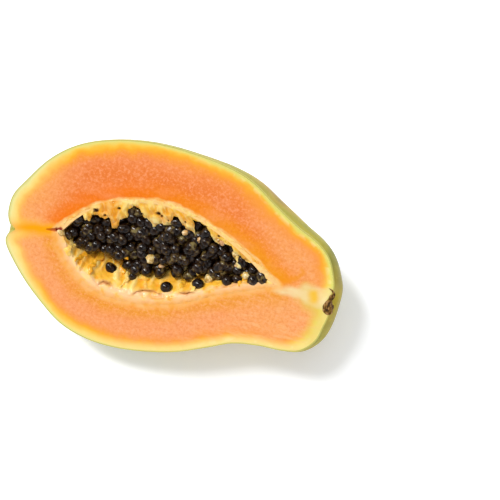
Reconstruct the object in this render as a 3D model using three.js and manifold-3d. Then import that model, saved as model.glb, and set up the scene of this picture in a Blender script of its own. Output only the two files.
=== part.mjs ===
// Half of a ripe papaya, cut along its length and lying on its rounded back, cut face up.
// Units are millimetres. It is worked out in the fruit's own frame, then laid down as one group:
//   x  along the fruit, from the blossom end (-) to the stem end (+)
//   v  across the cut face
//   n  out of the cut face, which is the plane n = 0 with the fruit below it
import * as THREE from "three";
import { mergeVertices } from "three/addons/utils/BufferGeometryUtils.js";
import Module from "manifold-3d";

const wasm = await Module();
wasm.setup();

// ---- driving dimensions -------------------------------------------------------------------

const GAP = 0.3; // clearance between neighbouring pieces
const HEAP_CLEARANCE = 0.8; // between the seed heap and the pith below it

// How the half lies: the cut face leans towards -Y and the stem end is a little raised.
const LEAN_DEG = 21;
const PITCH_DEG = 1.5;
const REST_HEIGHT = 52.6; // from the resting surface up to the middle of the cut face
const CENTRE_SHIFT = [-0.2, 3.2]; // brings the middle of the whole box over the origin

// Edge of the cut face, [x, v], from the pit at the blossom end to the pit at the stem end.
const RIM_UPPER = [
  [-87.1, -11.1], [-90.2, -8.2], [-92.0, -2.0], [-90.8, 7.5], [-85.0, 17.0], [-76.0, 29.4],
  [-65.0, 39.0], [-52.4, 45.3], [-36.0, 49.7], [-18.0, 51.5], [1.0, 50.5], [19.8, 47.6],
  [34.0, 42.6], [47.6, 33.7], [61.6, 25.2], [73.0, 19.6], [81.0, 12.8], [85.6, 3.4],
  [87.2, -3.6], [85.3, -10.0],
];
const RIM_LOWER = [
  [-87.1, -11.1], [-90.0, -14.4], [-90.4, -19.0], [-86.0, -26.0], [-76.7, -36.7],
  [-65.9, -46.5], [-53.0, -55.8], [-38.0, -60.8], [-22.0, -62.0], [-5.0, -60.3],
  [12.0, -56.4], [28.4, -49.8], [40.6, -44.6], [54.0, -42.5], [67.0, -42.1], [76.5, -40.0],
  [83.5, -33.0], [86.0, -24.5], [87.4, -17.0], [85.3, -10.0],
];
// The back of the fruit along its middle, [x, n], between the same two pits.
const BACK = [
  [-87.1, 0.0], [-90.3, -3.6], [-91.6, -9.5], [-89.6, -18.0], [-83.0, -27.0], [-72.0, -37.0],
  [-57.0, -45.0], [-38.0, -50.2], [-16.0, -52.8], [8.0, -52.4], [31.0, -48.8], [51.0, -44.0],
  [67.0, -39.4], [79.0, -33.0], [87.5, -25.0], [91.8, -15.0], [90.8, -6.6], [85.3, 0.0],
];
// The skin swells past the cut edge where the cut runs above the fruit's own axis.
const SWELL_UPPER = 0.2; // share of the half width, at the stem end
const SWELL_LOWER = 0.34;
const RIDGES = 5; // shallow ridges along the skin, one for each of the fruit's five carpels
const RIDGE_HEIGHT = 0.018; // share of the radius, at mid length
const RIDGE_HEIGHT_END = 0.026; // extra at the two ends, where the ridges meet
const RIDGE_AT = THREE.MathUtils.degToRad(76); // first ridge, measured round from the upper rim

// Edge of the seed cavity in the cut face, [x, v], tip to tip.
const CAVITY_UPPER = [
  [-65.2, -6.0], [-58.4, 2.3], [-46.5, 12.2], [-33.0, 18.0], [-18.1, 21.4], [-5.0, 21.9],
  [9.0, 18.8], [25.0, 12.6], [41.0, 4.6], [51.0, -1.8], [59.0, -8.0],
];
const CAVITY_LOWER = [
  [-65.2, -6.0], [-62.4, -13.0], [-55.0, -23.6], [-45.0, -31.6], [-33.0, -35.4], [-19.0, -36.2],
  [-4.0, -34.0], [12.0, -28.6], [28.0, -20.6], [44.0, -14.2], [59.0, -8.0],
];
const CAVITY_DEPTH = 25;

// The pith lining: thin under the upper edge, a broad slope on the lower side.
const PITH_EDGE_UPPER = 2.6;
const PITH_EDGE_LOWER = 3.4;
const PITH_FLOOR = 3.5; // thickness at the bottom of the cavity
const PITH_FOLDS = 12; // folds that run down the slope
const PITH_FOLD_HEIGHT = 1.7;

// Pith straps that hang from the upper edge over the seeds: [x, v, n] from root to tip, half width.
const STRAPS = [
  { path: [[-51.3, 9.7, -1.1], [-50.2, 6.8, -1.3], [-49.4, 3.9, -2.8], [-49.3, 0.8, -5.0]], half: 2.2 },
  { path: [[-36.4, 15.9, -1.1], [-34.4, 12.2, -1.3], [-33.0, 7.8, -2.8], [-31.7, 1.6, -5.0]], half: 3.0 },
  { path: [[-16.9, 19.8, -1.1], [-14.6, 16.8, -1.3], [-12.4, 12.6, -2.8], [-10.2, 7.8, -5.0]], half: 3.2 },
  { path: [[-1.1, 20.2, -1.1], [1.8, 16.8, -1.3], [5.2, 12.3, -2.8], [8.5, 7.8, -5.0]], half: 2.6 },
  { path: [[13.5, 15.9, -1.1], [16.9, 12.6, -1.3], [19.7, 8.6, -2.8], [21.9, 4.3, -5.0]], half: 2.6 },
  { path: [[27.2, 10.4, -1.1], [30.1, 6.9, -1.3], [32.8, 3.4, -2.8], [34.9, -0.4, -5.0]], half: 2.2 },
];
const STRAP_HALF_THICK = 0.9;
const STRAP_TAPER = 0.55; // share of its width that a strap loses by its tip

// Seeds: a heap that fills the cavity, and a few that lie apart on the slope.
const SEED_HALF = [3.1, 2.8, 2.6]; // half length, half width, half thickness
const SEED_SPACING = 5.4;
const HEAP_UPPER = [
  [-61.0, -5.5], [-56.0, 3.8], [-47.0, 6.6], [-38.0, 8.6], [-29.0, 13.4], [-20.0, 12.6],
  [-11.0, 9.4], [-2.4, 14.0], [8.0, 13.0], [18.0, 9.0], [29.0, 6.6], [40.0, 1.2], [52.4, -5.2],
];
const HEAP_LOWER = [
  [53.0, -9.0], [42.0, -12.0], [31.0, -14.2], [20.0, -12.4], [10.0, -14.2], [-1.0, -16.2],
  [-12.0, -19.4], [-20.0, -21.6], [-27.0, -13.6], [-40.0, -13.0], [-49.0, -15.4], [-57.0, -12.8],
];
const HEAP_TOP = -4.4; // height of the seeds' middles along the upper side
const HEAP_TOP_V = 12; // where across the face that height holds
const HEAP_FALL = 0.15; // drop for each millimetre towards the lower side
const HEAP_ROUGHNESS = 1.3; // seeds sit up to this much higher or lower
const LONE_SEEDS = [{ s: 0.315, angle: 2.2 }, { s: 0.545, angle: 2.44 }]; // places on the pith
const LONE_SEED_PROUD = 0.9; // height of a lone seed's middle above the pith it is pressed into
const PALE_SEEDS = [[-12.8, -11.2], [20.3, -15.0], [35.6, -2.6], [40.4, -8.0]]; // [x, v]
const PALE_SEED_HALF = [2.9, 2.5, 2.3]; // seeds that never filled out
const PALE_SEED_PROUD = 0.8;

// The dried stump of the stalk, a rough disc let into the stem pit: [radius, height] from its axis.
const STUMP_AT = [85.4, -10.4, 0];
const STUMP_PROFILE = [[0, -2.2], [4.4, -1.8], [6.2, 0.2], [5.0, 1.9], [2.4, 1.4], [0, 0.7]];

// Colours.
const FLESH = 0xf59a55;
const PITH = 0xf0c266;
const SEED = 0x1c120e;
const PALE = 0xe6cf96;
const STUMP = 0x8a6236;

// Mesh fineness.
const SKIN_ROWS = 44;
const SKIN_COLUMNS = 22;
const CAVITY_ROWS = 36;
const CAVITY_COLUMNS = 14;
const PITH_ROWS = 72;
const HEAP_ROWS = 24;
const HEAP_COLUMNS = 10;
const SEED_SIDES = 6;
const SEED_RINGS = 4;

// ---- small helpers ------------------------------------------------------------------------

const toCurve = (points) => new THREE.SplineCurve(points.map(([a, b]) => new THREE.Vector2(a, b)));
const smoothstep = THREE.MathUtils.smoothstep;

// The same number between 0 and 1 each time for the same pair of whole numbers.
function scatter(i, j) {
  const value = Math.sin(i * 12.9898 + j * 78.233) * 43758.5453;
  return value - Math.floor(value);
}

function geometryOf(vertices, triangles) {
  const geometry = new THREE.BufferGeometry();
  geometry.setAttribute("position", new THREE.Float32BufferAttribute(vertices, 3));
  geometry.setIndex(triangles);
  return geometry;
}

function toSolid(geometry) {
  const bare = geometry.clone();
  bare.deleteAttribute("normal");
  bare.deleteAttribute("uv");
  const merged = mergeVertices(bare, 1e-4);
  return new wasm.Manifold(new wasm.Mesh({
    numProp: 3,
    vertProperties: new Float32Array(merged.attributes.position.array),
    triVerts: new Uint32Array(merged.index.array),
  }));
}

function joinAll(solids) {
  return solids.reduce((whole, next) => whole.add(next));
}

// A cut can leave crumbs: only the largest body is the piece.
function largestBody(solid) {
  const bodies = solid.decompose();
  return bodies.reduce((best, body) => (body.volume() > best.volume() ? body : best));
}

function toMesh(name, solid, color, roughness) {
  const cut = solid.getMesh();
  const geometry = geometryOf(Array.from(cut.vertProperties), Array.from(cut.triVerts));
  const flat = geometry.toNonIndexed();
  flat.computeVertexNormals();
  const mesh = new THREE.Mesh(flat, new THREE.MeshStandardMaterial({ color, roughness, metalness: 0 }));
  mesh.name = name;
  return mesh;
}

// A closed bowl: surface(s, angle) runs from the upper edge (angle 0) down and round to the lower
// edge (angle PI) for s from 0 at one tip to 1 at the other, under a flat lid raised by lift.
function bowl(surface, rows, columns, lift) {
  const vertices = [];
  const triangles = [];
  const add = ([x, v, n]) => vertices.push(x, v, n) / 3 - 1;
  const firstTip = add(surface(0, 0));
  const lastTip = add(surface(1, 0));
  const index = [];
  for (let i = 1; i < rows; i += 1) {
    const s = 0.5 - 0.5 * Math.cos((Math.PI * i) / rows);
    const row = [];
    for (let j = 0; j <= columns; j += 1) row.push(add(surface(s, (Math.PI * j) / columns)));
    index.push(row);
  }
  for (let j = 0; j < columns; j += 1) {
    triangles.push(firstTip, index[0][j], index[0][j + 1]);
    triangles.push(lastTip, index[rows - 2][j + 1], index[rows - 2][j]);
    for (let i = 0; i < rows - 2; i += 1) {
      const [a, b] = [index[i][j], index[i][j + 1]];
      const [c, d] = [index[i + 1][j], index[i + 1][j + 1]];
      triangles.push(a, c, b, b, c, d);
    }
  }
  let edge = [firstTip, ...index.map((row) => row[0]), lastTip];
  edge = [...edge, ...index.map((row) => row[columns]).reverse()];
  const outline = edge.map((k) => new THREE.Vector2(vertices[3 * k], vertices[3 * k + 1]));
  let lid = edge;
  if (lift > 0) {
    lid = edge.map((k) => add([vertices[3 * k], vertices[3 * k + 1], lift]));
    edge.forEach((k, i) => {
      const next = (i + 1) % edge.length;
      triangles.push(k, lid[i], edge[next], edge[next], lid[i], lid[next]);
    });
  }
  const faces = THREE.ShapeUtils.triangulateShape(outline, []);
  faces.forEach(([a, b, c]) => triangles.push(lid[a], lid[b], lid[c]));
  return toSolid(turnedOutwards(geometryOf(vertices, triangles)));
}

// Triangles are listed so that their faces point out of the solid.
function turnedOutwards(geometry) {
  const position = geometry.attributes.position;
  const index = geometry.index.array;
  const corner = (k) => new THREE.Vector3().fromBufferAttribute(position, index[k]);
  let volume = 0;
  for (let k = 0; k < index.length; k += 3) {
    volume += corner(k).dot(corner(k + 1).cross(corner(k + 2)));
  }
  if (volume < 0) {
    for (let k = 0; k < index.length; k += 3) [index[k + 1], index[k + 2]] = [index[k + 2], index[k + 1]];
  }
  return geometry;
}

// ---- the fruit: skin and flesh ------------------------------------------------------------

const rimUpper = toCurve(RIM_UPPER);
const rimLower = toCurve(RIM_LOWER);
const back = toCurve(BACK);

function skinPoint(s, angle) {
  const upper = rimUpper.getPointAt(s);
  const lower = rimLower.getPointAt(s);
  const keel = back.getPointAt(s);
  const down = Math.sin(angle);
  const across = Math.cos(angle);
  const atStemEnd = smoothstep(s, 0.5, 0.8);
  const swell = (across > 0 ? SWELL_UPPER : SWELL_LOWER) * atStemEnd;
  const ridgeHeight = RIDGE_HEIGHT + RIDGE_HEIGHT_END * Math.abs(2 * s - 1) ** 4;
  const ridge = 1 + ridgeHeight * Math.cos(RIDGES * (angle - RIDGE_AT)) * down;
  const side = across * (1 + swell * down) * ridge;
  const depth = down * ridge;
  const middle = upper.clone().add(lower).multiplyScalar(0.5);
  const half = upper.clone().sub(lower).multiplyScalar(0.5);
  return [
    middle.x + half.x * side + (keel.x - middle.x) * depth,
    middle.y + half.y * side,
    keel.y * depth,
  ];
}

// ---- the cavity and its pith --------------------------------------------------------------

const cavityUpper = toCurve(CAVITY_UPPER);
const cavityLower = toCurve(CAVITY_LOWER);

// A bowl inside the cavity, its edges drawn in by `upperInset` and `lowerInset`. `slope` above 1
// makes its sides start shallow, and `fold` adds to its height.
function cavityPoint(s, angle, { upperInset, lowerInset, floor, slopeUpper, slopeLower, fold }) {
  const upper = cavityUpper.getPointAt(s);
  const lower = cavityLower.getPointAt(s);
  const width = upper.y - lower.y;
  const tipFade = smoothstep(s, 0, 0.12) * smoothstep(1 - s, 0, 0.12);
  const middleX = (upper.x + lower.x) / 2;
  const tipInset = (upperInset + lowerInset) / 2;
  const endPull = tipInset * (1 - smoothstep(s, 0, 0.3)) - tipInset * (1 - smoothstep(1 - s, 0, 0.3));
  const top = upper.y - Math.min(upperInset, width * 0.3);
  const bottom = lower.y + Math.min(lowerInset, width * 0.3);
  const across = Math.cos(angle);
  const down = Math.sin(angle);
  const slope = across > 0 ? slopeUpper : slopeLower;
  const depth = (CAVITY_DEPTH - floor) * Math.sqrt(Math.max(0, 4 * s * (1 - s))) * down ** slope;
  return [
    middleX + ((upper.x - lower.x) / 2) * across + endPull,
    (top + bottom) / 2 + ((top - bottom) / 2) * across,
    -depth + fold(s, angle) * tipFade,
  ];
}

const noFold = () => 0;

function cavityWall(inset) {
  const shape = {
    upperInset: inset, lowerInset: inset, floor: inset, slopeUpper: 1, slopeLower: 1, fold: noFold,
  };
  return (s, angle) => cavityPoint(s, angle, shape);
}

function pithFold(s, angle) {
  const onSlope = Math.sin(angle) ** 2 * smoothstep(-Math.cos(angle), 0.1, 0.6);
  return PITH_FOLD_HEIGHT * onSlope * Math.sin(2 * Math.PI * PITH_FOLDS * (s + 0.06 * Math.sin(angle)));
}

const pithShape = {
  upperInset: PITH_EDGE_UPPER,
  lowerInset: PITH_EDGE_LOWER,
  floor: PITH_FLOOR,
  slopeUpper: 1.2,
  slopeLower: 3.4,
  fold: pithFold,
};
const pithSurface = (s, angle) => cavityPoint(s, angle, pithShape);

// The room that the seed heap fills: the hollow of the pith, smooth and clear of its folds.
const heapRoomShape = {
  ...pithShape,
  upperInset: PITH_EDGE_UPPER + HEAP_CLEARANCE,
  lowerInset: PITH_EDGE_LOWER + HEAP_CLEARANCE,
  floor: PITH_FLOOR + HEAP_CLEARANCE,
  fold: () => PITH_FOLD_HEIGHT + HEAP_CLEARANCE / 2,
};
const heapRoomSurface = (s, angle) => cavityPoint(s, angle, heapRoomShape);

function strap({ path, half }, grow) {
  const curve = new THREE.CatmullRomCurve3(path.map(([x, v, n]) => new THREE.Vector3(x, v, n)));
  const rows = 7;
  const sides = 8;
  const vertices = [];
  const triangles = [];
  for (let i = 0; i <= rows; i += 1) {
    const s = i / rows;
    const centre = curve.getPointAt(s);
    const along = curve.getTangentAt(s);
    const out = new THREE.Vector3(0, 0, 1);
    const side = new THREE.Vector3().crossVectors(along, out).normalize();
    const up = new THREE.Vector3().crossVectors(side, along);
    const taper = 1 - STRAP_TAPER * s;
    for (let j = 0; j < sides; j += 1) {
      const turn = (2 * Math.PI * j) / sides;
      const point = centre.clone()
        .addScaledVector(side, (half * taper + grow) * Math.cos(turn))
        .addScaledVector(up, (STRAP_HALF_THICK * taper + grow) * Math.sin(turn));
      vertices.push(point.x, point.y, point.z);
    }
  }
  const first = vertices.push(...curve.getPointAt(0).toArray()) / 3 - 1;
  const last = vertices.push(...curve.getPointAt(1).toArray()) / 3 - 1;
  for (let j = 0; j < sides; j += 1) {
    const next = (j + 1) % sides;
    triangles.push(first, next, j, last, rows * sides + j, rows * sides + next);
    for (let i = 0; i < rows; i += 1) {
      const [a, b] = [i * sides + j, i * sides + next];
      triangles.push(a, b, a + sides, b, b + sides, a + sides);
    }
  }
  return toSolid(turnedOutwards(geometryOf(vertices, triangles)));
}

// ---- seeds --------------------------------------------------------------------------------

function ellipsoid(halves, at, turns) {
  const geometry = new THREE.SphereGeometry(1, SEED_SIDES, SEED_RINGS);
  geometry.scale(...halves);
  geometry.rotateX(turns[0]);
  geometry.rotateY(turns[1]);
  geometry.rotateZ(turns[2]);
  geometry.translate(...at);
  return toSolid(geometry);
}

const heapOutline = [...HEAP_UPPER, ...HEAP_LOWER].map(([x, v]) => new THREE.Vector2(x, v));

function insideHeap(x, v) {
  let inside = false;
  heapOutline.forEach((a, k) => {
    const b = heapOutline[(k + 1) % heapOutline.length];
    const crosses = a.y > v !== b.y > v;
    if (crosses && x < a.x + ((v - a.y) / (b.y - a.y)) * (b.x - a.x)) inside = !inside;
  });
  return inside;
}

const heapHeight = (x, v) => HEAP_TOP - HEAP_FALL * (HEAP_TOP_V - v);

// Seeds stand on a loosened hexagonal grid, each turned its own way.
function heapSeeds() {
  const seeds = [];
  const rowStep = (SEED_SPACING * Math.sqrt(3)) / 2;
  for (let j = -6; j <= 5; j += 1) {
    for (let i = -14; i <= 12; i += 1) {
      const x = (i + (j % 2 ? 0.5 : 0) + 0.34 * (scatter(i, j) - 0.5)) * SEED_SPACING;
      const v = j * rowStep + 0.34 * (scatter(i + 40, j) - 0.5) * SEED_SPACING - 2;
      if (!insideHeap(x, v)) continue;
      const n = heapHeight(x, v) + HEAP_ROUGHNESS * (2 * scatter(i, j + 40) - 1);
      const size = 0.94 + 0.16 * scatter(i + 80, j);
      const turns = [scatter(i, j + 80), scatter(i + 7, j), scatter(i, j + 7)].map((q) => (q - 0.5) * 2.2);
      seeds.push(ellipsoid(SEED_HALF.map((h) => h * size), [x, v, n], turns));
    }
  }
  return seeds;
}

function heapCore() {
  const shape = new THREE.Shape(heapOutline);
  const geometry = new THREE.ExtrudeGeometry(shape, { depth: CAVITY_DEPTH, bevelEnabled: false });
  const position = geometry.attributes.position;
  for (let k = 0; k < position.count; k += 1) {
    const isTop = position.getZ(k) > CAVITY_DEPTH / 2;
    const top = heapHeight(position.getX(k), position.getY(k)) - 0.8;
    position.setZ(k, isTop ? top : -CAVITY_DEPTH);
  }
  return toSolid(geometry);
}

function loneSeed({ s, angle }, grow) {
  const [x, v, n] = pithSurface(s, angle);
  return ellipsoid(SEED_HALF.map((h) => h + grow), [x, v, n + LONE_SEED_PROUD], [0.4, 0.3, 0.9]);
}

function paleSeed([x, v], grow) {
  const at = [x, v, heapHeight(x, v) + PALE_SEED_PROUD];
  return ellipsoid(PALE_SEED_HALF.map((h) => h + grow), at, [0.3, 0.5, x]);
}

// ---- the dried stump ----------------------------------------------------------------------

function stump(grow) {
  const profile = STUMP_PROFILE.map(([r, h]) => new THREE.Vector2(r === 0 ? 0 : r + grow, h + Math.sign(h) * grow));
  const geometry = new THREE.LatheGeometry(profile, 16);
  geometry.rotateZ(-Math.PI / 2);
  geometry.translate(...STUMP_AT);
  const below = new THREE.BoxGeometry(60, 60, 30);
  below.translate(STUMP_AT[0], STUMP_AT[1], grow - 15);
  return toSolid(turnedOutwards(geometry)).intersect(toSolid(below));
}

// ---- the assembly -------------------------------------------------------------------------

const half = new THREE.Group();
half.rotation.set(THREE.MathUtils.degToRad(LEAN_DEG), THREE.MathUtils.degToRad(-PITCH_DEG), 0, "YXZ");
half.position.set(CENTRE_SHIFT[0], CENTRE_SHIFT[1], REST_HEIGHT);
half.updateMatrixWorld(true);

// The resting surface, seen from the fruit's own frame: it takes the small flat off the back.
function restingSurface() {
  const block = new THREE.BoxGeometry(300, 300, 60);
  block.translate(0, 0, -30);
  block.applyMatrix4(half.matrixWorld.clone().invert());
  return toSolid(block);
}

const fruit = bowl(skinPoint, SKIN_ROWS, SKIN_COLUMNS, 0)
  .subtract(bowl(cavityWall(0), CAVITY_ROWS, CAVITY_COLUMNS, 3))
  .subtract(stump(GAP))
  .subtract(restingSurface());

const pithBody = bowl(cavityWall(1.5 * GAP), CAVITY_ROWS, CAVITY_COLUMNS, 0);
const pithHollow = bowl(pithSurface, PITH_ROWS, CAVITY_COLUMNS, 3);
const pith = largestBody(pithBody
  .subtract(pithHollow)
  .add(joinAll(STRAPS.map((one) => strap(one, 0))).intersect(pithBody))
  .subtract(joinAll(LONE_SEEDS.map((place) => loneSeed(place, GAP))))
  .subtract(joinAll(PALE_SEEDS.map((place) => paleSeed(place, GAP)))));

const heapRoom = bowl(heapRoomSurface, HEAP_ROWS, HEAP_COLUMNS, 3);
const seedHeap = largestBody(joinAll([heapCore(), ...heapSeeds()])
  .intersect(heapRoom)
  .subtract(joinAll(STRAPS.map((one) => strap(one, GAP))))
  .subtract(joinAll(PALE_SEEDS.map((place) => paleSeed(place, GAP)))));

half.add(toMesh("fruit", fruit, FLESH, 0.55));
half.add(toMesh("pith", pith, PITH, 0.6));
half.add(toMesh("seed_heap", seedHeap, SEED, 0.25));
LONE_SEEDS.forEach((place, k) => half.add(toMesh(`lone_seed_${k + 1}`, loneSeed(place, 0), SEED, 0.25)));
PALE_SEEDS.forEach((place, k) => half.add(toMesh(`pale_seed_${k + 1}`, paleSeed(place, 0), PALE, 0.5)));
half.add(toMesh("stalk_stump", stump(0), STUMP, 0.85));

const group = new THREE.Group();
group.add(half);

export default group;
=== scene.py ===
# %% [markdown]
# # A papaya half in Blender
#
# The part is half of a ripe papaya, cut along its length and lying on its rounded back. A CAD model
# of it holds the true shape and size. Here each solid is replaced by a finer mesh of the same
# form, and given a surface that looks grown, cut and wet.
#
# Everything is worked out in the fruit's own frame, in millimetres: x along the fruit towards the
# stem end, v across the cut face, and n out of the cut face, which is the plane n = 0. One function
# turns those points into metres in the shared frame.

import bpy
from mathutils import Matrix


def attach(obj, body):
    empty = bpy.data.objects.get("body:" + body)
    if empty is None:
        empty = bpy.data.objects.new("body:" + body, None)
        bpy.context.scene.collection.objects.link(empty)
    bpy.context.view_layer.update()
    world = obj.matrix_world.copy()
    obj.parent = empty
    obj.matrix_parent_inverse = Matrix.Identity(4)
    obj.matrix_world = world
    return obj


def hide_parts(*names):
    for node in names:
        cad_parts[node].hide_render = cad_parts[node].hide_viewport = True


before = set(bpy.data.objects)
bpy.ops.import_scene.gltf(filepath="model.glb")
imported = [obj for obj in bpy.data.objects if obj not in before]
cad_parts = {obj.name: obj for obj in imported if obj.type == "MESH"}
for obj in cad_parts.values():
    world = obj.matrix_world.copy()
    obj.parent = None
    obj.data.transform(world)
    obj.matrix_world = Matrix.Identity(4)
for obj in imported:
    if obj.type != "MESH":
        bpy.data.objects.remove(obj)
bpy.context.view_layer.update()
print("nodes:", sorted(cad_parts))

# %% Tools
import math

import bmesh
import bpy
import numpy as np
from mathutils import Matrix, Vector, noise

MM = 0.001


def colour(hex_code):
    """An sRGB hex colour as the linear values that Blender's sockets take."""
    parts = [int(hex_code[i:i + 2], 16) / 255 for i in (1, 3, 5)]
    linear = [part / 12.92 if part <= 0.04045 else ((part + 0.055) / 1.055) ** 2.4 for part in parts]
    return (*linear, 1.0)


def smoothstep(value, low, high):
    share = np.clip((np.asarray(value, float) - low) / (high - low), 0, 1)
    return share * share * (3 - 2 * share)


def unit(vectors):
    """The same vectors, each with a length of 1."""
    return vectors / np.maximum(np.linalg.norm(vectors, axis=-1, keepdims=True), 1e-9)


def scatter(i, j):
    """The same number from 0 to 1 each time for the same pair of whole numbers."""
    value = math.sin(i * 12.9898 + j * 78.233) * 43758.5453
    return value - math.floor(value)


def ripple(points, size, seed):
    """Smooth random heights from about -1 to 1 at points in mm, with features about `size` mm wide."""
    flat = np.asarray(points, float).reshape(-1, 3) / size + seed
    heights = np.array([noise.noise(Vector(point)) for point in flat])
    return heights.reshape(np.asarray(points).shape[:-1])


def wander(points, size, *seeds):
    """A smooth random shift in x and v at each point."""
    return np.stack([ripple(points, size, seed) for seed in seeds], axis=-1)


def inside_of(points, corners):
    """Whether each 2-D point lies inside a closed outline."""
    x, v = points[..., 0], points[..., 1]
    within = np.zeros(x.shape, bool)
    for (ax, av), (bx, bv) in zip(corners, np.roll(corners, -1, axis=0)):
        if av != bv:
            within ^= ((av > v) != (bv > v)) & (x < ax + (v - av) / (bv - av) * (bx - ax))
    return within


def nearest_on(points, line):
    """Distance from each 2-D point to a line, and how far along it (0 to 1) the nearest place is."""
    line = np.array(line, float)
    best, place = np.full(len(points), 1e9), np.zeros(len(points))
    for k in range(len(line) - 1):
        run = line[k + 1] - line[k]
        share = np.clip(((points - line[k]) @ run) / max(run @ run, 1e-12), 0, 1)
        gap = np.linalg.norm(points - (line[k] + share[:, None] * run), axis=1)
        closer = gap < best
        best = np.where(closer, gap, best)
        place = np.where(closer, (k + share) / (len(line) - 1), place)
    return best, place


def distance_to_loop(points, loop):
    return nearest_on(points, [*loop, loop[0]])[0]


def on_face(points, n=0.0):
    """Points x and v of the cut face as 3-D points at height n."""
    return np.concatenate([points, np.zeros((len(points), 1)) + np.reshape(n, (-1, 1))], axis=1)

# %% [markdown]
# ## How the half lies
#
# A half papaya rolls until its weight is over the soft spot that it rests on. This one leans a
# little towards the viewer. The angles and the height are the ones that the CAD model is laid down
# with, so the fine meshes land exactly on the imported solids.

# %% From the fruit's frame to the shared frame
LEAN_DEG = 21
PITCH_DEG = 1.5
REST_HEIGHT = 52.6
CENTRE_SHIFT = (-0.2, 3.2)

LAID_DOWN = (
    Matrix.Translation((CENTRE_SHIFT[0], CENTRE_SHIFT[1], REST_HEIGHT))
    @ Matrix.Rotation(math.radians(-PITCH_DEG), 4, "Y")
    @ Matrix.Rotation(math.radians(LEAN_DEG), 4, "X")
)
LAID_DOWN_ARRAY = np.array(LAID_DOWN)


def to_frame(points):
    """Points of the fruit's frame, in mm, as points of the shared frame, in metres."""
    flat = np.asarray(points, float).reshape(-1, 3)
    return (flat @ LAID_DOWN_ARRAY[:3, :3].T + LAID_DOWN_ARRAY[:3, 3]) * MM


def piece(name, points, faces, marks=None, sharp_deg=50):
    """A mesh object from points in the fruit's frame. Marks are numbers that its material reads."""
    mesh = bpy.data.meshes.new(name)
    mesh.from_pydata(to_frame(points).tolist(), [], [list(map(int, face)) for face in faces])
    for mark, values in (marks or {}).items():
        layer = mesh.attributes.new(mark, "FLOAT", "POINT")
        layer.data.foreach_set("value", np.asarray(values, np.float32).ravel())
    form = bmesh.new()
    form.from_mesh(mesh)
    bmesh.ops.remove_doubles(form, verts=form.verts, dist=2e-6)
    bmesh.ops.recalc_face_normals(form, faces=form.faces)
    form.to_mesh(mesh)
    form.free()
    mesh.shade_smooth()
    mesh.set_sharp_from_angle(angle=math.radians(sharp_deg))
    made = bpy.data.objects.new(name, mesh)
    bpy.context.scene.collection.objects.link(made)
    return made


def grid_faces(rows, columns, first=0, closed=False):
    """Quads between neighbouring rows of a grid of points, numbered row by row from `first`."""
    index = first + np.arange(rows * columns).reshape(rows, columns)
    if closed:
        index = np.concatenate([index, index[:, :1]], axis=1)
    quads = [index[:-1, :-1], index[1:, :-1], index[1:, 1:], index[:-1, 1:]]
    return np.stack(quads, axis=-1).reshape(-1, 4)


def tube_faces(rows, columns):
    """Quads round a closed tube of points, and a lid on each end."""
    last = (rows - 1) * columns
    lids = [list(range(columns))[::-1], list(range(last, last + columns))]
    return grid_faces(rows, columns, closed=True).tolist() + lids

# %% [markdown]
# ## The outlines
#
# Two curves give the edge of the cut face, one on each side, from the pit at the blossom end to the
# pit at the stem end. A third runs along the middle of the back. They are smooth curves through a
# few points, walked at even steps of length, and they are the CAD model's own.

# %% Outlines and the skin's surface
class Outline:
    """A smooth curve through points, asked for by share of its length."""

    def __init__(self, points):
        self.points = np.array(points, float)
        self.walk = np.linspace(0, 1, 401)
        steps = np.linalg.norm(np.diff(self.through(self.walk), axis=0), axis=1)
        self.length = np.concatenate([[0], np.cumsum(steps)])

    def through(self, share):
        last = len(self.points) - 1
        place = np.asarray(share, float) * last
        k = np.minimum(np.floor(place).astype(int), last - 1)
        w = (place - k)[..., None]
        p0, p1 = self.points[np.maximum(k - 1, 0)], self.points[k]
        p2, p3 = self.points[k + 1], self.points[np.minimum(k + 2, last)]
        start, end = (p2 - p0) / 2, (p3 - p1) / 2
        cubic = (2 * p1 - 2 * p2 + start + end) * w ** 3
        return cubic + (-3 * p1 + 3 * p2 - 2 * start - end) * w ** 2 + start * w + p1

    def at(self, share):
        share = np.asarray(share, float)
        return self.through(np.interp(share * self.length[-1], self.length, self.walk))


RIM_UPPER = Outline([
    (-87.1, -11.1), (-90.2, -8.2), (-92.0, -2.0), (-90.8, 7.5), (-85.0, 17.0), (-76.0, 29.4),
    (-65.0, 39.0), (-52.4, 45.3), (-36.0, 49.7), (-18.0, 51.5), (1.0, 50.5), (19.8, 47.6),
    (34.0, 42.6), (47.6, 33.7), (61.6, 25.2), (73.0, 19.6), (81.0, 12.8), (85.6, 3.4),
    (87.2, -3.6), (85.3, -10.0),
])
RIM_LOWER = Outline([
    (-87.1, -11.1), (-90.0, -14.4), (-90.4, -19.0), (-86.0, -26.0), (-76.7, -36.7),
    (-65.9, -46.5), (-53.0, -55.8), (-38.0, -60.8), (-22.0, -62.0), (-5.0, -60.3),
    (12.0, -56.4), (28.4, -49.8), (40.6, -44.6), (54.0, -42.5), (67.0, -42.1), (76.5, -40.0),
    (83.5, -33.0), (86.0, -24.5), (87.4, -17.0), (85.3, -10.0),
])
BACK = Outline([
    (-87.1, 0.0), (-90.3, -3.6), (-91.6, -9.5), (-89.6, -18.0), (-83.0, -27.0), (-72.0, -37.0),
    (-57.0, -45.0), (-38.0, -50.2), (-16.0, -52.8), (8.0, -52.4), (31.0, -48.8), (51.0, -44.0),
    (67.0, -39.4), (79.0, -33.0), (87.5, -25.0), (91.8, -15.0), (90.8, -6.6), (85.3, 0.0),
])
SWELL_UPPER, SWELL_LOWER = 0.2, 0.34  # how far each side swells out below the cut, in the stem half
RIDGES = 5
RIDGE_HEIGHT, RIDGE_HEIGHT_END = 0.018, 0.026  # shares of the radius: everywhere, and added at both ends
RIDGE_AT = math.radians(76)


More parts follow.
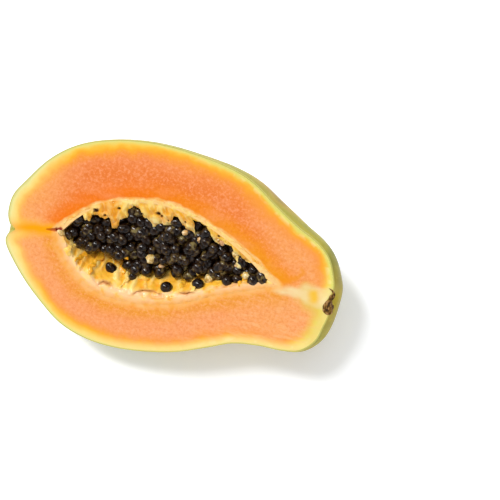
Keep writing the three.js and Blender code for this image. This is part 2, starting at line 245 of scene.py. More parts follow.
def skin_surface(s, angle):
    """A point of the skin, s from the blossom pit to the stem pit, angle round from the upper rim."""
    upper, lower, keel = RIM_UPPER.at(s), RIM_LOWER.at(s), BACK.at(s)
    down, across = np.sin(angle), np.cos(angle)
    swell = np.where(across > 0, SWELL_UPPER, SWELL_LOWER) * smoothstep(s, 0.5, 0.8)
    ridge_height = RIDGE_HEIGHT + RIDGE_HEIGHT_END * np.abs(2 * s - 1) ** 4
    ridge = 1 + ridge_height * np.cos(RIDGES * (angle - RIDGE_AT)) * down
    side, depth = across * (1 + swell * down) * ridge, down * ridge
    middle, half = (upper + lower) / 2, (upper - lower) / 2
    return np.stack([
        middle[..., 0] + half[..., 0] * side + (keel[..., 0] - middle[..., 0]) * depth,
        middle[..., 1] + half[..., 1] * side,
        keel[..., 1] * depth,
    ], axis=-1)


def tip_spaced(count):
    """Shares from 0 to 1, closer together near both tips."""
    even = np.linspace(0, 1, count)
    return 0.5 * even + 0.5 * (0.5 - 0.5 * np.cos(math.pi * even))


def sheet(rows, columns, start=0, end=math.pi):
    """Shares from tip to tip and angles from `start` to `end`, for each point of a grid."""
    return np.meshgrid(tip_spaced(rows), np.linspace(start, end, columns), indexing="ij")


print("length of the half along its upper rim, mm:", round(float(RIM_UPPER.length[-1]), 1))

# %% [markdown]
# ## Skin
#
# Papaya skin is thin, under a millimetre, and tight on the flesh. It is made as a real shell: the
# outer surface walked as a grid, the same grid moved in by the skin's thickness, and a narrow strip
# between them that shows as the fine green line round the cut face. Soft dents and the small flat
# that the fruit rests on are in the mesh. Pores and blotches are left to the material.

# %% The shell of skin
SKIN_ROWS, SKIN_COLUMNS = 240, 100
SKIN_THICK = 0.55
HAIR_UNDER = 0.02  # mm, so that the skin's curve stays within the faceted solid's box
DENT_HEIGHT, DENT_SUNK = 0.35, 0.05  # mm, all of it inwards


def settle(points):
    """Takes the small flat off the back: no point goes below the resting surface."""
    height = points @ LAID_DOWN_ARRAY[2, :3] + LAID_DOWN_ARRAY[2, 3]
    return points + np.maximum(-height, 0)[..., None] * LAID_DOWN_ARRAY[2, :3]


def skin_grid(rows, columns, inset):
    """A surface `inset` mm under the skin's, cut off flat at n = 0, and its shares and angles."""
    s, angle = sheet(rows, columns)
    grid = skin_surface(s, angle)
    normal = unit(np.cross(np.gradient(grid, axis=0), np.gradient(grid, axis=1)))
    normal[0], normal[-1] = (-1, 0, 0), (1, 0, 0)
    for edge in (0, -1):
        normal[1:-1, edge, 2] = 0
        normal[1:-1, edge] = unit(normal[1:-1, edge])
    dents = ripple(grid, 26, 3.1) * 0.6 + ripple(grid, 9, 8.4) * 0.4
    away = np.sin(angle) * (DENT_HEIGHT * (dents - 1) - DENT_SUNK)
    return settle(grid + normal * away[..., None]) - normal * inset, s, angle


outer, skin_s, skin_angle = skin_grid(SKIN_ROWS, SKIN_COLUMNS, HAIR_UNDER)
inner = skin_grid(SKIN_ROWS, SKIN_COLUMNS, SKIN_THICK)[0]
count = SKIN_ROWS * SKIN_COLUMNS
skin_faces = [grid_faces(SKIN_ROWS, SKIN_COLUMNS), grid_faces(SKIN_ROWS, SKIN_COLUMNS, first=count)]
for edge in (0, SKIN_COLUMNS - 1):  # the narrow strips between the two surfaces
    line = np.arange(count).reshape(SKIN_ROWS, SKIN_COLUMNS)[:, edge]
    skin_faces.append(np.stack([line[:-1], line[1:], line[1:] + count, line[:-1] + count], axis=-1))
skin = piece(
    "papaya_skin", np.stack([outer, inner]), np.concatenate(skin_faces),
    marks={"along": np.tile(skin_s.ravel(), 2), "around": np.tile(skin_angle.ravel() / math.pi, 2)})
print("skin faces:", len(skin.data.polygons))

# %% [markdown]
# ## The cavity
#
# The cavity has two edges in the cut face, tip to tip, and hangs between them like a pointed bowl.
# The flesh ends at this wall and the pith starts there. The same surface, drawn in and given a
# steep upper side and a broad lower slope, is the inside of the pith.

# %% Cavity outlines and surfaces
CAVITY_UPPER = Outline([
    (-65.2, -6.0), (-58.4, 2.3), (-46.5, 12.2), (-33.0, 18.0), (-18.1, 21.4), (-5.0, 21.9),
    (9.0, 18.8), (25.0, 12.6), (41.0, 4.6), (51.0, -1.8), (59.0, -8.0),
])
CAVITY_LOWER = Outline([
    (-65.2, -6.0), (-62.4, -13.0), (-55.0, -23.6), (-45.0, -31.6), (-33.0, -35.4), (-19.0, -36.2),
    (-4.0, -34.0), (12.0, -28.6), (28.0, -20.6), (44.0, -14.2), (59.0, -8.0),
])
CAVITY_DEPTH = 25
PITH_EDGE_UPPER, PITH_EDGE_LOWER = 2.6, 3.4  # mm, the width of the pith in the cut face
PITH_FLOOR = 3.5  # mm, its thickness under the seeds


def cavity_surface(s, angle, upper_inset=0.0, lower_inset=0.0, floor=0.0, slope_upper=1.0, slope_lower=1.0):
    """A pointed bowl inside the cavity, drawn in from its two edges and raised by `floor`."""
    upper, lower = CAVITY_UPPER.at(s), CAVITY_LOWER.at(s)
    width = upper[..., 1] - lower[..., 1]
    tip_inset = (upper_inset + lower_inset) / 2
    pull = tip_inset * (smoothstep(1 - s, 0, 0.3) - smoothstep(s, 0, 0.3))
    upper_inset = upper_inset * (0.55 + 0.45 * smoothstep(s, 0.2, 0.5))
    top = upper[..., 1] - np.minimum(upper_inset, width * 0.3)
    bottom = lower[..., 1] + np.minimum(lower_inset, width * 0.3)
    across, down = np.cos(angle), np.maximum(np.sin(angle), 0)
    slope = np.where(across > 0, slope_upper, slope_lower)
    depth = (CAVITY_DEPTH - floor) * np.sqrt(np.maximum(4 * s * (1 - s), 0)) * down ** slope
    return np.stack([
        (upper[..., 0] + lower[..., 0]) / 2 + (upper[..., 0] - lower[..., 0]) / 2 * across + pull,
        (top + bottom) / 2 + (top - bottom) / 2 * across,
        -depth,
    ], axis=-1)


def hollow_surface(s, angle):
    """The inside of the pith, before its folds."""
    return cavity_surface(s, angle, PITH_EDGE_UPPER, PITH_EDGE_LOWER, PITH_FLOOR, 1.2, 3.4)


print("cavity length, mm:", round(float(np.ptp(CAVITY_UPPER.points[:, 0])), 1))

# %% [markdown]
# ## Flesh
#
# The cut face is one sheet of cells sliced open. It is a ring of quads from the cavity's edge out to
# the skin, fine enough to carry marks: how far each point is from the skin and from the cavity, and
# where the pale bands of vessels run. The material turns those into the flesh's colours. The ring
# goes on down the cavity wall and round under the skin, so the flesh is one closed solid.

# %% The cut face and the body of the flesh
AROUND = 420  # points along each side of the face
ACROSS = 60
BODY_COLUMNS = 40
WALL_COLUMNS = 24
PITH_COLUMNS, PITH_BACK_COLUMNS = 150, 30
FACE_MIDDLE = (-4.0, -7.0)
FACE_WAVE = 0.16


def loop_of(upper, lower):
    """A closed loop through two outlines, from tip to tip and back."""
    there = tip_spaced(AROUND)
    return np.concatenate([upper.at(there), lower.at(there[-2:0:-1])])


def cavity_loop(over=0.0):
    """The cavity's edge moved out by `over`. It is torn, so each point also has a wander of its own."""
    loop = loop_of(CAVITY_UPPER, CAVITY_LOWER)
    torn = 0.55 * ripple(on_face(loop), 5.0, 21.0) + 0.3 * ripple(on_face(loop), 2.2, 4.0)
    return loop + unit(loop - FACE_MIDDLE) * (torn + over)[:, None]


def upper_side_of(points):
    """0 on the lower side of the fruit's middle line and 1 on the upper side."""
    return smoothstep(points[:, 1] + 7 + 0.02 * points[:, 0], -5, 6)


rim = loop_of(RIM_UPPER, RIM_LOWER)
step = np.roll(rim, -1, axis=0) - np.roll(rim, 1, axis=0)
rim_loop = rim + unit(np.stack([step[:, 1], -step[:, 0]], axis=1)) * SKIN_THICK
edge_loop = cavity_loop()
loop_size = len(edge_loop)
share_out = np.linspace(0, 1, ACROSS)[:, None, None]
face_xy = (edge_loop + (rim_loop - edge_loop) * share_out).reshape(-1, 2)
face_flat = on_face(face_xy)
from_rim = distance_to_loop(face_xy, rim_loop[::2])
from_cavity = distance_to_loop(face_xy, edge_loop[::2])
print("face points:", len(face_xy), " thickest flesh on the face, mm:", round(float(from_rim.max()), 1))

# %% Where the pale vessel bands run
STYLE_LINE = [(-88.0, -10.9), (-83.1, -9.2), (-76.0, -7.9), (-68.9, -7.2), (-64.0, -6.3)]
SLIT_LINE = [(-69.6, -7.2), (-67.0, -7.0), (-64.6, -6.4), (-62.2, -5.2)]
STEM_LINE = [(55.5, -10.6), (64.5, -9.9), (70.5, -9.1), (76.0, -9.2), (86.0, -9.4)]
STEM_BRANCH = [(73.5, -9.5), (79.0, -13.8), (82.6, -18.6), (83.6, -25.0), (80.0, -32.0)]
ORANGE_LINE = [(57.0, -5.2), (59.6, -5.4), (62.4, -4.2), (67.1, -1.3), (69.5, 1.5), (68.4, 3.9)]
BANDS = {  # in mm: wander, line, half width at both ends and softness, then the weight at both ends
    "style_glow": (1.1, STYLE_LINE, 5.0, 0.4, 4.0, 0.35, 0.8),
    "style_band": (0.4, STYLE_LINE, 1.3, 0.3, 3.4, 0.6, 1.7),
    "slit": (0.3, SLIT_LINE, 0.1, 1.0, 0.7, 0.6, 1.0),
    "stem_band": (1.6, STEM_LINE, 0.2, 5.6, 2.4, 1.0, 0.85),
    "stem_branch": (1.8, STEM_BRANCH, 3.2, 2.2, 5.0, 0.9, 0.5),
    "stem_spot": (0.9, [(77.2, -8.6), (77.8, -10.8)], 1.3, 1.4, 3.2),
    "orange_line": (0.5, ORANGE_LINE, 1.4, 0.3, 1.7, 1.0, 0.6),
    "blemish": (0.0, [(78.4, 17.6), (79.4, 16.6)], 0.7, 0.3, 0.5),
    "stem_zone": (0.0, [(87.0, 3.0), (86.0, -20.0), (80.0, -34.0)], 3.0, 6.0, 7.0),
}


def band(points, line, half_start, half_end, soft, weight_start=1.0, weight_end=1.0):
    """A weight on the line, falling to 0 over `soft` mm past a half width that changes along it."""
    gap, place = nearest_on(points, line)
    half = half_start + (half_end - half_start) * place
    weight = weight_start + (weight_end - weight_start) * place
    return weight * (1 - smoothstep(gap - half, -0.3 * soft, soft))


shift = wander(face_flat, 5.0, 5.0, 55.0)
face_marks = {"from_rim": from_rim, "from_cavity": from_cavity, "upper_side": upper_side_of(face_xy)}
for mark, (sway, *numbers) in BANDS.items():
    face_marks[mark] = np.minimum(band(face_xy + sway * shift, *numbers), 1)
print("marks on the face:", ", ".join(face_marks))

# %% Build the flesh
EDGE_ROLL = 0.1  # how far the flesh rolls over at the cavity's soft edge
SLIT_DEPTH = 1.1
UNDER_SKIN = 0.25  # mm between the skin's inside and the flesh
BEYOND_FACE = {"from_rim": (0, 20), "from_cavity": (30, 0)}  # a mark's value under the skin and on the wall


def pinned(grid, loop):
    """A grid with its two long sides and its ends laid on a closed loop."""
    grid[:, 0], grid[1:-1, -1] = loop[:AROUND], loop[AROUND:][::-1]
    grid[0], grid[-1] = loop[0], loop[AROUND - 1]
    return grid


face_n = -FACE_WAVE * (1 + ripple(face_flat, 17.0, 2.0)) * smoothstep(from_rim, 0, 3)
face_n -= EDGE_ROLL * (1 - smoothstep(from_cavity, 0, 1.6)) + SLIT_DEPTH * face_marks["slit"]
face = on_face(face_xy, face_n)
face[-loop_size:, 2] = 0
edge = face[:loop_size]
body = pinned(skin_grid(AROUND, BODY_COLUMNS, SKIN_THICK + UNDER_SKIN)[0], on_face(rim_loop))
wall = pinned(cavity_surface(*sheet(AROUND, WALL_COLUMNS)), edge)
flesh_marks = {}
for mark, values in face_marks.items():
    under_skin, on_wall = BEYOND_FACE.get(mark, (0, 0))
    flesh_marks[mark] = np.concatenate([
        values, np.full(body.size // 3, float(under_skin)), np.full(wall.size // 3, float(on_wall))])
flesh = piece(
    "papaya_flesh",
    np.concatenate([face, body.reshape(-1, 3), wall.reshape(-1, 3)]),
    np.concatenate([
        grid_faces(ACROSS, loop_size, closed=True),
        grid_faces(AROUND, BODY_COLUMNS, first=len(face)),
        grid_faces(AROUND, WALL_COLUMNS, first=len(face) + AROUND * BODY_COLUMNS),
    ]),
    marks=flesh_marks,
)
print("flesh faces:", len(flesh.data.polygons))

# %% [markdown]
# ## Pith
#
# The cavity is lined with soft, stringy pith. Its cut edge is a cream rim. On the upper side it
# drops straight down behind the seeds, and on the lower side it slopes away in glossy folds, with
# shallow pockets near the rim that seeds have been pulled from. It is one closed sheet: the folded
# inside, the rim, and the cavity wall behind. The large folds were stretched from the seeds to the
# rim when the half was pulled off the other one, so each is a soft ridge along its own line. Ridged
# noise, which has a sharp crest where smooth noise crosses zero, adds the small ones between them.

# %% Folds and creases of the lower slope
FOLDS = [  # from the seeds to the rim: x, v at both ends, half width and height in mm
    (-57.6, -11.8, -60.6, -16.4, 1.4, 1.2), (-54.4, -12.8, -56.0, -21.2, 1.7, 1.7),
    (-50.8, -14.8, -52.6, -25.0, 1.3, 1.4), (-46.6, -15.6, -48.9, -27.6, 1.5, 1.6),
    (-40.2, -13.2, -43.6, -28.6, 2.1, 2.7), (-36.6, -13.6, -38.4, -27.0, 1.2, 1.3),
    (-27.6, -12.6, -28.6, -29.6, 2.3, 2.4), (-24.6, -18.6, -21.0, -30.8, 1.7, 1.9),
    (-19.2, -21.8, -17.0, -31.0, 1.7, 1.9), (-14.6, -21.6, -11.4, -27.4, 1.5, 1.6),
    (-8.6, -19.0, -9.6, -26.0, 1.5, 1.4), (-3.4, -17.8, -4.4, -25.0, 1.3, 1.3),
    (4.6, -17.0, 7.2, -26.0, 1.6, 1.7), (12.4, -15.4, 14.0, -23.4, 2.0, 2.2),
    (18.4, -16.6, 18.0, -21.6, 1.4, 1.3), (26.0, -13.4, 22.0, -18.8, 1.3, 1.1),
]
CREASES = [  # small steps where a flap of tissue ends, at the rim
    [(-37.0, -30.4), (-34.6, -28.4), (-31.2, -28.4), (-28.6, -30.2)],
    [(-18.4, -31.8), (-15.4, -29.2), (-11.8, -27.8), (-6.0, -27.4), (-1.0, -27.6)],
    [(-54.0, -22.4), (-51.0, -26.0), (-47.4, -28.6)],
    [(6.0, -24.6), (11.0, -23.8), (16.0, -21.4)],
]


def folds_at(points):
    """Height of the large folds in mm over a smooth slope, at points of it."""
    bent = points[:, :2] + 1.3 * wander(points, 6.0, 9.0, 99.0)
    bent += 0.4 * wander(points, 2.2, 19.0, 29.0)
    height = np.zeros(len(points))
    for x0, v0, x1, v1, half, rise in FOLDS:
        gap, place = nearest_on(bent, [(x0, v0), (x1, v1)])
        flare = half * (1 + 1.1 * np.abs(2 * place - 0.9) ** 3)
        ridge = rise * np.exp(-(gap / flare) ** 2) * (1 - 0.45 * smoothstep(place, 0.55, 1))
        height = np.maximum(height, ridge) + 0.25 * np.minimum(height, ridge)
    return height


def creases_at(points):
    """A weight on each crease, and the step in height that it makes."""
    bent = points[:, :2] + 0.5 * wander(points, 3.0, 49.0, 59.0)
    weight, step = np.zeros((2, len(points)))
    for line in CREASES:
        gap, place = nearest_on(bent, line)
        taper = np.sin(math.pi * np.clip(place, 0.02, 0.98)) ** 0.6
        inner_side = bent[:, 1] > np.interp(bent[:, 0], *zip(*line))
        weight = np.maximum(weight, taper * np.exp(-(gap / 0.9) ** 2))
        step = step + taper * np.where(inner_side, 0.55 * np.exp(-gap / 1.6), -0.45 * np.exp(-gap))
    return weight, step


pith_s, pith_angle = sheet(AROUND, PITH_COLUMNS)
hollow = hollow_surface(pith_s, pith_angle)
folds = folds_at(hollow.reshape(-1, 3)).reshape(pith_s.shape)
crease, step = [values.reshape(pith_s.shape) for values in creases_at(hollow.reshape(-1, 3))]
print("large folds:", len(FOLDS), " highest point of them, mm:", round(float(folds.max()), 1))

# %% The lining of pith
PITH_RIM_COLUMNS = 10
PITH_BACK_INSET = 0.1  # mm between the back of the pith and the cavity's wall
PITH_OVER_FLESH = 0.08  # mm that the pith's edge laps over the flesh, so that no gap shows
FINE_FOLD_WIDTH = 3.8  # mm from one small stretched fold to the next
FINE_FOLD_HEIGHT = 0.3
CAVITY_LENGTH = 140  # mm, along its lower edge
RIM_BUMP = 0.3

sway = 0.7 * ripple(hollow, 9.0, 9.0)
drawn_out = np.stack([pith_s * CAVITY_LENGTH / FINE_FOLD_WIDTH + sway, 1.7 * pith_angle, 0 * pith_s], axis=-1)
ridged = 1 - 2.4 * np.abs(ripple(drawn_out, 1.0, 31.0))
fine = 1 - 2.4 * np.abs(ripple(drawn_out * (2.3, 1.6, 1), 1.0, 3.0))
small = (1 - 0.85 * smoothstep(pith_angle, 2.25, 2.7)) * FINE_FOLD_HEIGHT * (ridged + 0.4 * fine)
lumps = 0.8 * ripple(hollow, 7.0, 31.0) + 0.7 * ripple(hollow, 2.9, 13.0) + 0.25 * ripple(hollow, 1.3, 3.0)
tips = smoothstep(pith_s, 0, 0.06) * smoothstep(1 - pith_s, 0, 0.08)
lower = smoothstep(-np.cos(pith_angle), -0.1, 0.4)
relief = tips * (lower * (folds + small + step) + lumps - 0.4)
raised = hollow.copy()
raised[..., 2] = np.minimum(raised[..., 2] + relief * smoothstep(np.sin(pith_angle), 0, 0.3), -0.05)


def slope_height(x, v):
    """The pith's height n at a place in the cavity, from the nearest point of its grid."""
    gap = (raised[..., 0] - x) ** 2 + (raised[..., 1] - v) ** 2
    return float(raised.reshape(-1, 3)[int(gap.argmin()), 2])


def rim_ring(start, inner_row):
    """Rows of points from the cavity's edge in to the first row of the hollow."""
    share = np.linspace(0, 1, PITH_RIM_COLUMNS + 1)[:-1]
    at = start[:, None] + (inner_row[:, None] - start[:, None]) * share[None, :, None]
    lumps = 0.3 + ripple(at, 3.4, 40.0) + 0.6 * ripple(at, 1.6, 4.0)
    at[..., 2] += np.sin(np.pi * share) * RIM_BUMP * lumps
    return at


outer_edge = on_face(cavity_loop(PITH_OVER_FLESH), edge[:, 2])  # it follows the flesh's own height there
lower_edge = np.concatenate([outer_edge[:1], outer_edge[:AROUND - 2:-1]])
back_s, back_angle = sheet(AROUND, PITH_BACK_COLUMNS, math.pi, 0)
back = cavity_surface(back_s, back_angle, PITH_BACK_INSET, PITH_BACK_INSET, PITH_BACK_INSET)
pith_grid = np.concatenate([
    rim_ring(outer_edge[:AROUND], raised[:, 0]), raised, rim_ring(lower_edge, raised[:, -1])[:, ::-1],
    back[:, 1:-1]], axis=1)
pith_flat = pith_grid[..., :2].reshape(-1, 2)
pith_marks = {
    "from_edge": distance_to_loop(pith_flat, edge_loop[::3]),
    "upper_side": upper_side_of(pith_flat),
    "slit": band(pith_flat, SLIT_LINE, 0.1, 0.6, 1.0, 0.8, 1.1),
}
inside = slice(PITH_RIM_COLUMNS, PITH_RIM_COLUMNS + raised.shape[1])
in_hollow = {
    "near_seeds": smoothstep(-hollow[..., 2], 0.4, 5.0), "height": relief, "crease": tips * lower * crease}
for mark, values in in_hollow.items():
    pith_marks[mark] = np.zeros(pith_grid.shape[:2])
    pith_marks[mark][:, inside] = values
pith = piece("pith_lining", pith_grid, grid_faces(AROUND, pith_grid.shape[1], closed=True),
             marks=pith_marks, sharp_deg=80)
print("pith faces:", len(pith.data.polygons))

# %% [markdown]
# ## The torn curtain of pith
#
# Along the upper edge the pith was torn when the fruit was cut, and hangs over the seeds as a ragged
# yellow curtain. Six long tongues of it are the CAD model's straps. Between them it is short, with a
# few holes, each a shallow dip in the sheet painted near black as painted shade. It is one thick
# sheet: each column of points starts on the rim and hangs for its own length, so the lower edge
# takes any outline.

# %% The curtain
STRAPS = np.array([  # x and v in mm where each strap of the CAD model leaves the rim, and where it ends
    (-51.3, 9.7, -49.3, 0.8), (-36.4, 15.9, -31.7, 1.6), (-16.9, 19.8, -10.2, 7.8),
    (-1.1, 20.2, 8.5, 7.8), (13.5, 15.9, 21.9, 4.3), (27.2, 10.4, 34.9, -0.4),
])
CURTAIN_EDGE = [  # the curtain's lower edge, x and v in mm, from the blossom end to the stem end
    (-62.0, -2.6), (-59.5, 2.0), (-57.4, 4.6), (-54.5, 5.6), (-52.2, 5.6), (-50.6, 2.5), (-47.9, 2.6),
    (-46.6, 6.2), (-44.4, 6.8), (-42.7, 5.5), (-39.9, 5.7), (-37.4, 6.3), (-35.7, 0.9), (-32.4, 1.4),
    (-32.2, 6.6), (-28.3, 8.9), (-28.6, 13.6), (-26.1, 15.9), (-22.2, 14.7), (-20.5, 11.1), (-18.0, 10.9),
    (-15.1, 7.5), (-12.0, 4.2), (-10.6, 7.7), (-7.4, 9.3), (-3.7, 9.8), (-4.4, 15.3), (-1.6, 15.5),
    (1.1, 11.3), (5.0, 8.0), (8.6, 7.4), (7.4, 13.0), (6.6, 15.7), (10.7, 15.6), (15.1, 12.8), (18.1, 6.8),
    (22.3, 6.0), (24.8, 7.2), (29.4, 6.7), (32.0, 2.4), (34.9, 2.6), (38.0, -0.2), (43.5, 0.8),
    (49.7, -2.0), (54.6, -5.2),
]
CURTAIN_HOLES = [  # x, v and radius
    (-45.6, 8.8, 1.6), (-33.4, 12.8, 0.9), (-12.2, 14.6, 1.5), (-10.4, 13.8, 0.9), (-52.0, 6.4, 0.6),
    (21.6, 10.2, 0.8), (-20.8, 12.6, 0.8), (-6.4, 12.0, 0.6), (2.6, 13.4, 0.7), (-40.4, 7.2, 0.7),
    (14.0, 14.0, 0.7),
]
CURTAIN_COLUMNS, CURTAIN_ROWS = 420, 30
CURTAIN_THICK = 0.8
START_IN, SHORTEST = 0.5, 1.4  # mm: where the curtain starts inside the rim, and its least length

rim_walk = CAVITY_UPPER.at(np.linspace(0.02, 0.97, 1200))
root_x = np.linspace(-61.5, 54, CURTAIN_COLUMNS)
root = np.stack([root_x, np.interp(root_x, rim_walk[:, 0], rim_walk[:, 1])], axis=1)
strap_way = unit(STRAPS[:, 2:] - STRAPS[:, :2])
run = unit(np.stack([np.interp(root_x, STRAPS[:, 0], strap_way[:, k]) for k in (0, 1)], axis=1))

# how far each column runs down from the rim before it crosses the lower edge
walk = np.linspace(0.2, 20, 100)
reached = root[:, None] + run[:, None] * walk[None, :, None]
within = inside_of(reached, [(-62.0, 30.0), *CURTAIN_EDGE, (54.6, 30.0)])
hang = walk[np.argmin(within, axis=1)]
ragged = np.stack([root_x, 0 * root_x, 0 * root_x], axis=1)
frayed = 0.6 * ripple(ragged, 1.9, 2.0) + 0.35 * ripple(ragged, 0.8, 12.0)
hang = np.maximum(hang + frayed * smoothstep(hang, 0.6, 2.5), 0.3)

share = np.linspace(0, 1, CURTAIN_ROWS)
down = START_IN + share[None, :] * np.maximum(hang[:, None] - START_IN, SHORTEST)
top = np.empty((CURTAIN_COLUMNS, CURTAIN_ROWS, 3))
top[..., :2] = root[:, None] + run[:, None] * down[..., None]
top[..., 2] = 0.12 - 0.05 * down - 0.012 * down ** 2
top[..., 0] += 0.5 * ripple(top, 2.6, 8.0) * share
bent_x = root_x[:, None] + 1.6 * ripple(top, 5.0, 61.0)
streak = ripple(np.stack([bent_x / 2.6, down / 6.0, 0 * down], axis=-1), 1.0, 17.0)
lump = ripple(top, 3.2, 17.0) + 0.5 * ripple(top, 1.5, 27.0)
top[..., 2] += (0.5 * streak + 1.1 * lump) * (0.15 + 0.85 * share)
top[..., 2] -= 0.5 * smoothstep(share, 0.75, 1.0)
hole = np.zeros((CURTAIN_COLUMNS, CURTAIN_ROWS))
hole_bent = top[..., :2] + 0.5 * ripple(top, 1.6, 5.0)[..., None]
for x, v, radius in CURTAIN_HOLES:
    gap = np.hypot(hole_bent[..., 0] - x, (hole_bent[..., 1] - v) * 1.3)
    hole = np.maximum(hole, 1 - smoothstep(gap, 0.5 * radius, 1.25 * radius))
top[..., 2] -= 1.5 * hole
under = top.copy()
under[..., 2] -= CURTAIN_THICK * (1 - 0.6 * share)
curtain_marks = {"lump": lump, "down": down, "hole": hole, "streak": streak, "root_x": bent_x}
curtain = piece(
    "pith_curtain", np.concatenate([top, under[:, ::-1]], axis=1),
    tube_faces(CURTAIN_COLUMNS, 2 * CURTAIN_ROWS),
    marks={mark: np.concatenate([values, values[:, ::-1]], axis=1) for mark, values in curtain_marks.items()},
    sharp_deg=80)
print("curtain faces:", len(curtain.data.polygons), " longest tongue, mm:", round(float(hang.max()), 1))


def root_v(x):
    return float(np.interp(x, root[:, 0], root[:, 1]))


def curtain_reach(x):
    """How far down in v the curtain comes, at a place along the fruit."""
    near = np.abs(top[:, -1, 0] - x) < 2.0
    return float(top[near, -1, 1].min()) if near.any() else 99.0

# %% [markdown]
# ## Seeds
#
# Papaya seeds are black, about 6 mm long, and each sits in a tight bag of clear gel. Hundreds are
# packed in the cavity, but only the top ones show. They stand on a loosened hexagonal grid, the same
# rule as in the CAD model: the place, height, size and turn of each come from one hash of its row
# and column. A second layer between and below them closes the gaps.

# %% Where the seeds lie
SEED_HALF = (3.1, 2.8, 2.6)
SEED_SPACING = 5.4
SEED_LOOSE = 0.34  # share of the spacing by which a seed may stand off the grid
HEAP_UPPER = [
    (-61.0, -5.5), (-56.0, 3.8), (-47.0, 6.6), (-38.0, 8.6), (-29.0, 13.4), (-20.0, 12.6),
    (-11.0, 9.4), (-2.4, 14.0), (8.0, 13.0), (18.0, 9.0), (29.0, 6.6), (40.0, 1.2), (52.4, -5.2),
]
HEAP_LOWER = [
    (53.0, -9.0), (42.0, -12.0), (31.0, -14.2), (20.0, -12.4), (10.0, -14.2), (-1.0, -16.2),
    (-12.0, -19.4), (-20.0, -21.6), (-27.0, -13.6), (-40.0, -13.0), (-49.0, -15.4), (-57.0, -12.8),
]
HEAP_TOP, HEAP_TOP_V, HEAP_FALL = -4.4, 12, 0.15  # its height n at v = 12, and its slope from there
HEAP_ROUGHNESS = 1.3
LONE_SEEDS = [(0.315, 2.2), (0.545, 2.44)]  # share along the hollow, and angle round it
LONE_SEED_PROUD = 0.9
PALE_SEEDS = [(-12.8, -11.2), (20.3, -15.0), (35.6, -2.6), (40.4, -8.0)]
PALE_SEED_HALF = (2.9, 2.5, 2.3)
PALE_SEED_PROUD = 0.8
HEAP = HEAP_UPPER + HEAP_LOWER


def inside_heap(x, v):
    return bool(inside_of(np.array((x, v)), HEAP))


def heap_height(x, v):
    return HEAP_TOP - HEAP_FALL * (HEAP_TOP_V - v)


def heap_seeds():
    """Place, size and turns of each seed of the top layer, by the CAD model's rule."""
    row_step = SEED_SPACING * math.sqrt(3) / 2
    for j in range(-6, 6):
        for i in range(-14, 13):
            x = (i + (0.5 if j % 2 else 0) + SEED_LOOSE * (scatter(i, j) - 0.5)) * SEED_SPACING
            v = j * row_step + SEED_LOOSE * (scatter(i + 40, j) - 0.5) * SEED_SPACING - 2
            if not inside_heap(x, v):
                continue
            n = heap_height(x, v) + HEAP_ROUGHNESS * (2 * scatter(i, j + 40) - 1)
            turns = [(q - 0.5) * 2.2 for q in (scatter(i, j + 80), scatter(i + 7, j), scatter(i, j + 7))]
            yield (x, v, n), 0.94 + 0.16 * scatter(i + 80, j), turns

# %% A seed's form, and the layers of seeds
def gathered(parts):
    """Several point and face lists as one, and a number from 0 to 1 that each part's points share."""
    points, faces, tones, total = [], [], [], 0
    for k, (part_points, part_faces) in enumerate(parts):
        points.append(part_points)
        faces += [tuple(int(corner) + total for corner in face) for face in part_faces]
        tones.append(np.full(len(part_points), scatter(k, 7)))
        total += len(part_points)
    return np.concatenate(points), faces, {"tone": np.concatenate(tones)}


def ball(detail):
    form = bmesh.new()
    bmesh.ops.create_icosphere(form, subdivisions=detail, radius=1)
    points = np.array([vertex.co for vertex in form.verts])
    faces = [tuple(vertex.index for vertex in face.verts) for face in form.faces]
    form.free()
    return points, faces


BALL_FINE, BALL_PLAIN, BALL_COARSE = ball(5), ball(4), ball(3)
SEED_FOLDS = 0.2  # mm, the shallow wrinkles of the coat under its gel


def seed_part(at, size, turns, seed, source=BALL_PLAIN, halves=SEED_HALF, wrinkle=SEED_FOLDS):
    """One seed: an egg-shaped ball, stretched by its own amount, with shallow wrinkles."""
    ball_points, faces = source
    stretch = 1 + 0.22 * (scatter(seed, 3) - 0.35)
    form = ball_points * np.array(halves) * size * (stretch, 1 / stretch, 1)
    form[:, 1:] *= 1 + 0.14 * ball_points[:, :1]
    folded = ripple(form, 2.4, seed * 17.0) + 0.4 * ripple(form, 1.1, seed * 5.0)
    form += ball_points * (wrinkle * folded)[:, None]
    turn = Matrix.Identity(3)
    for angle, axis in zip(turns, "XYZ"):
        turn = turn @ Matrix.Rotation(angle, 3, axis)
    return form @ np.array(turn).T + np.array(at), faces


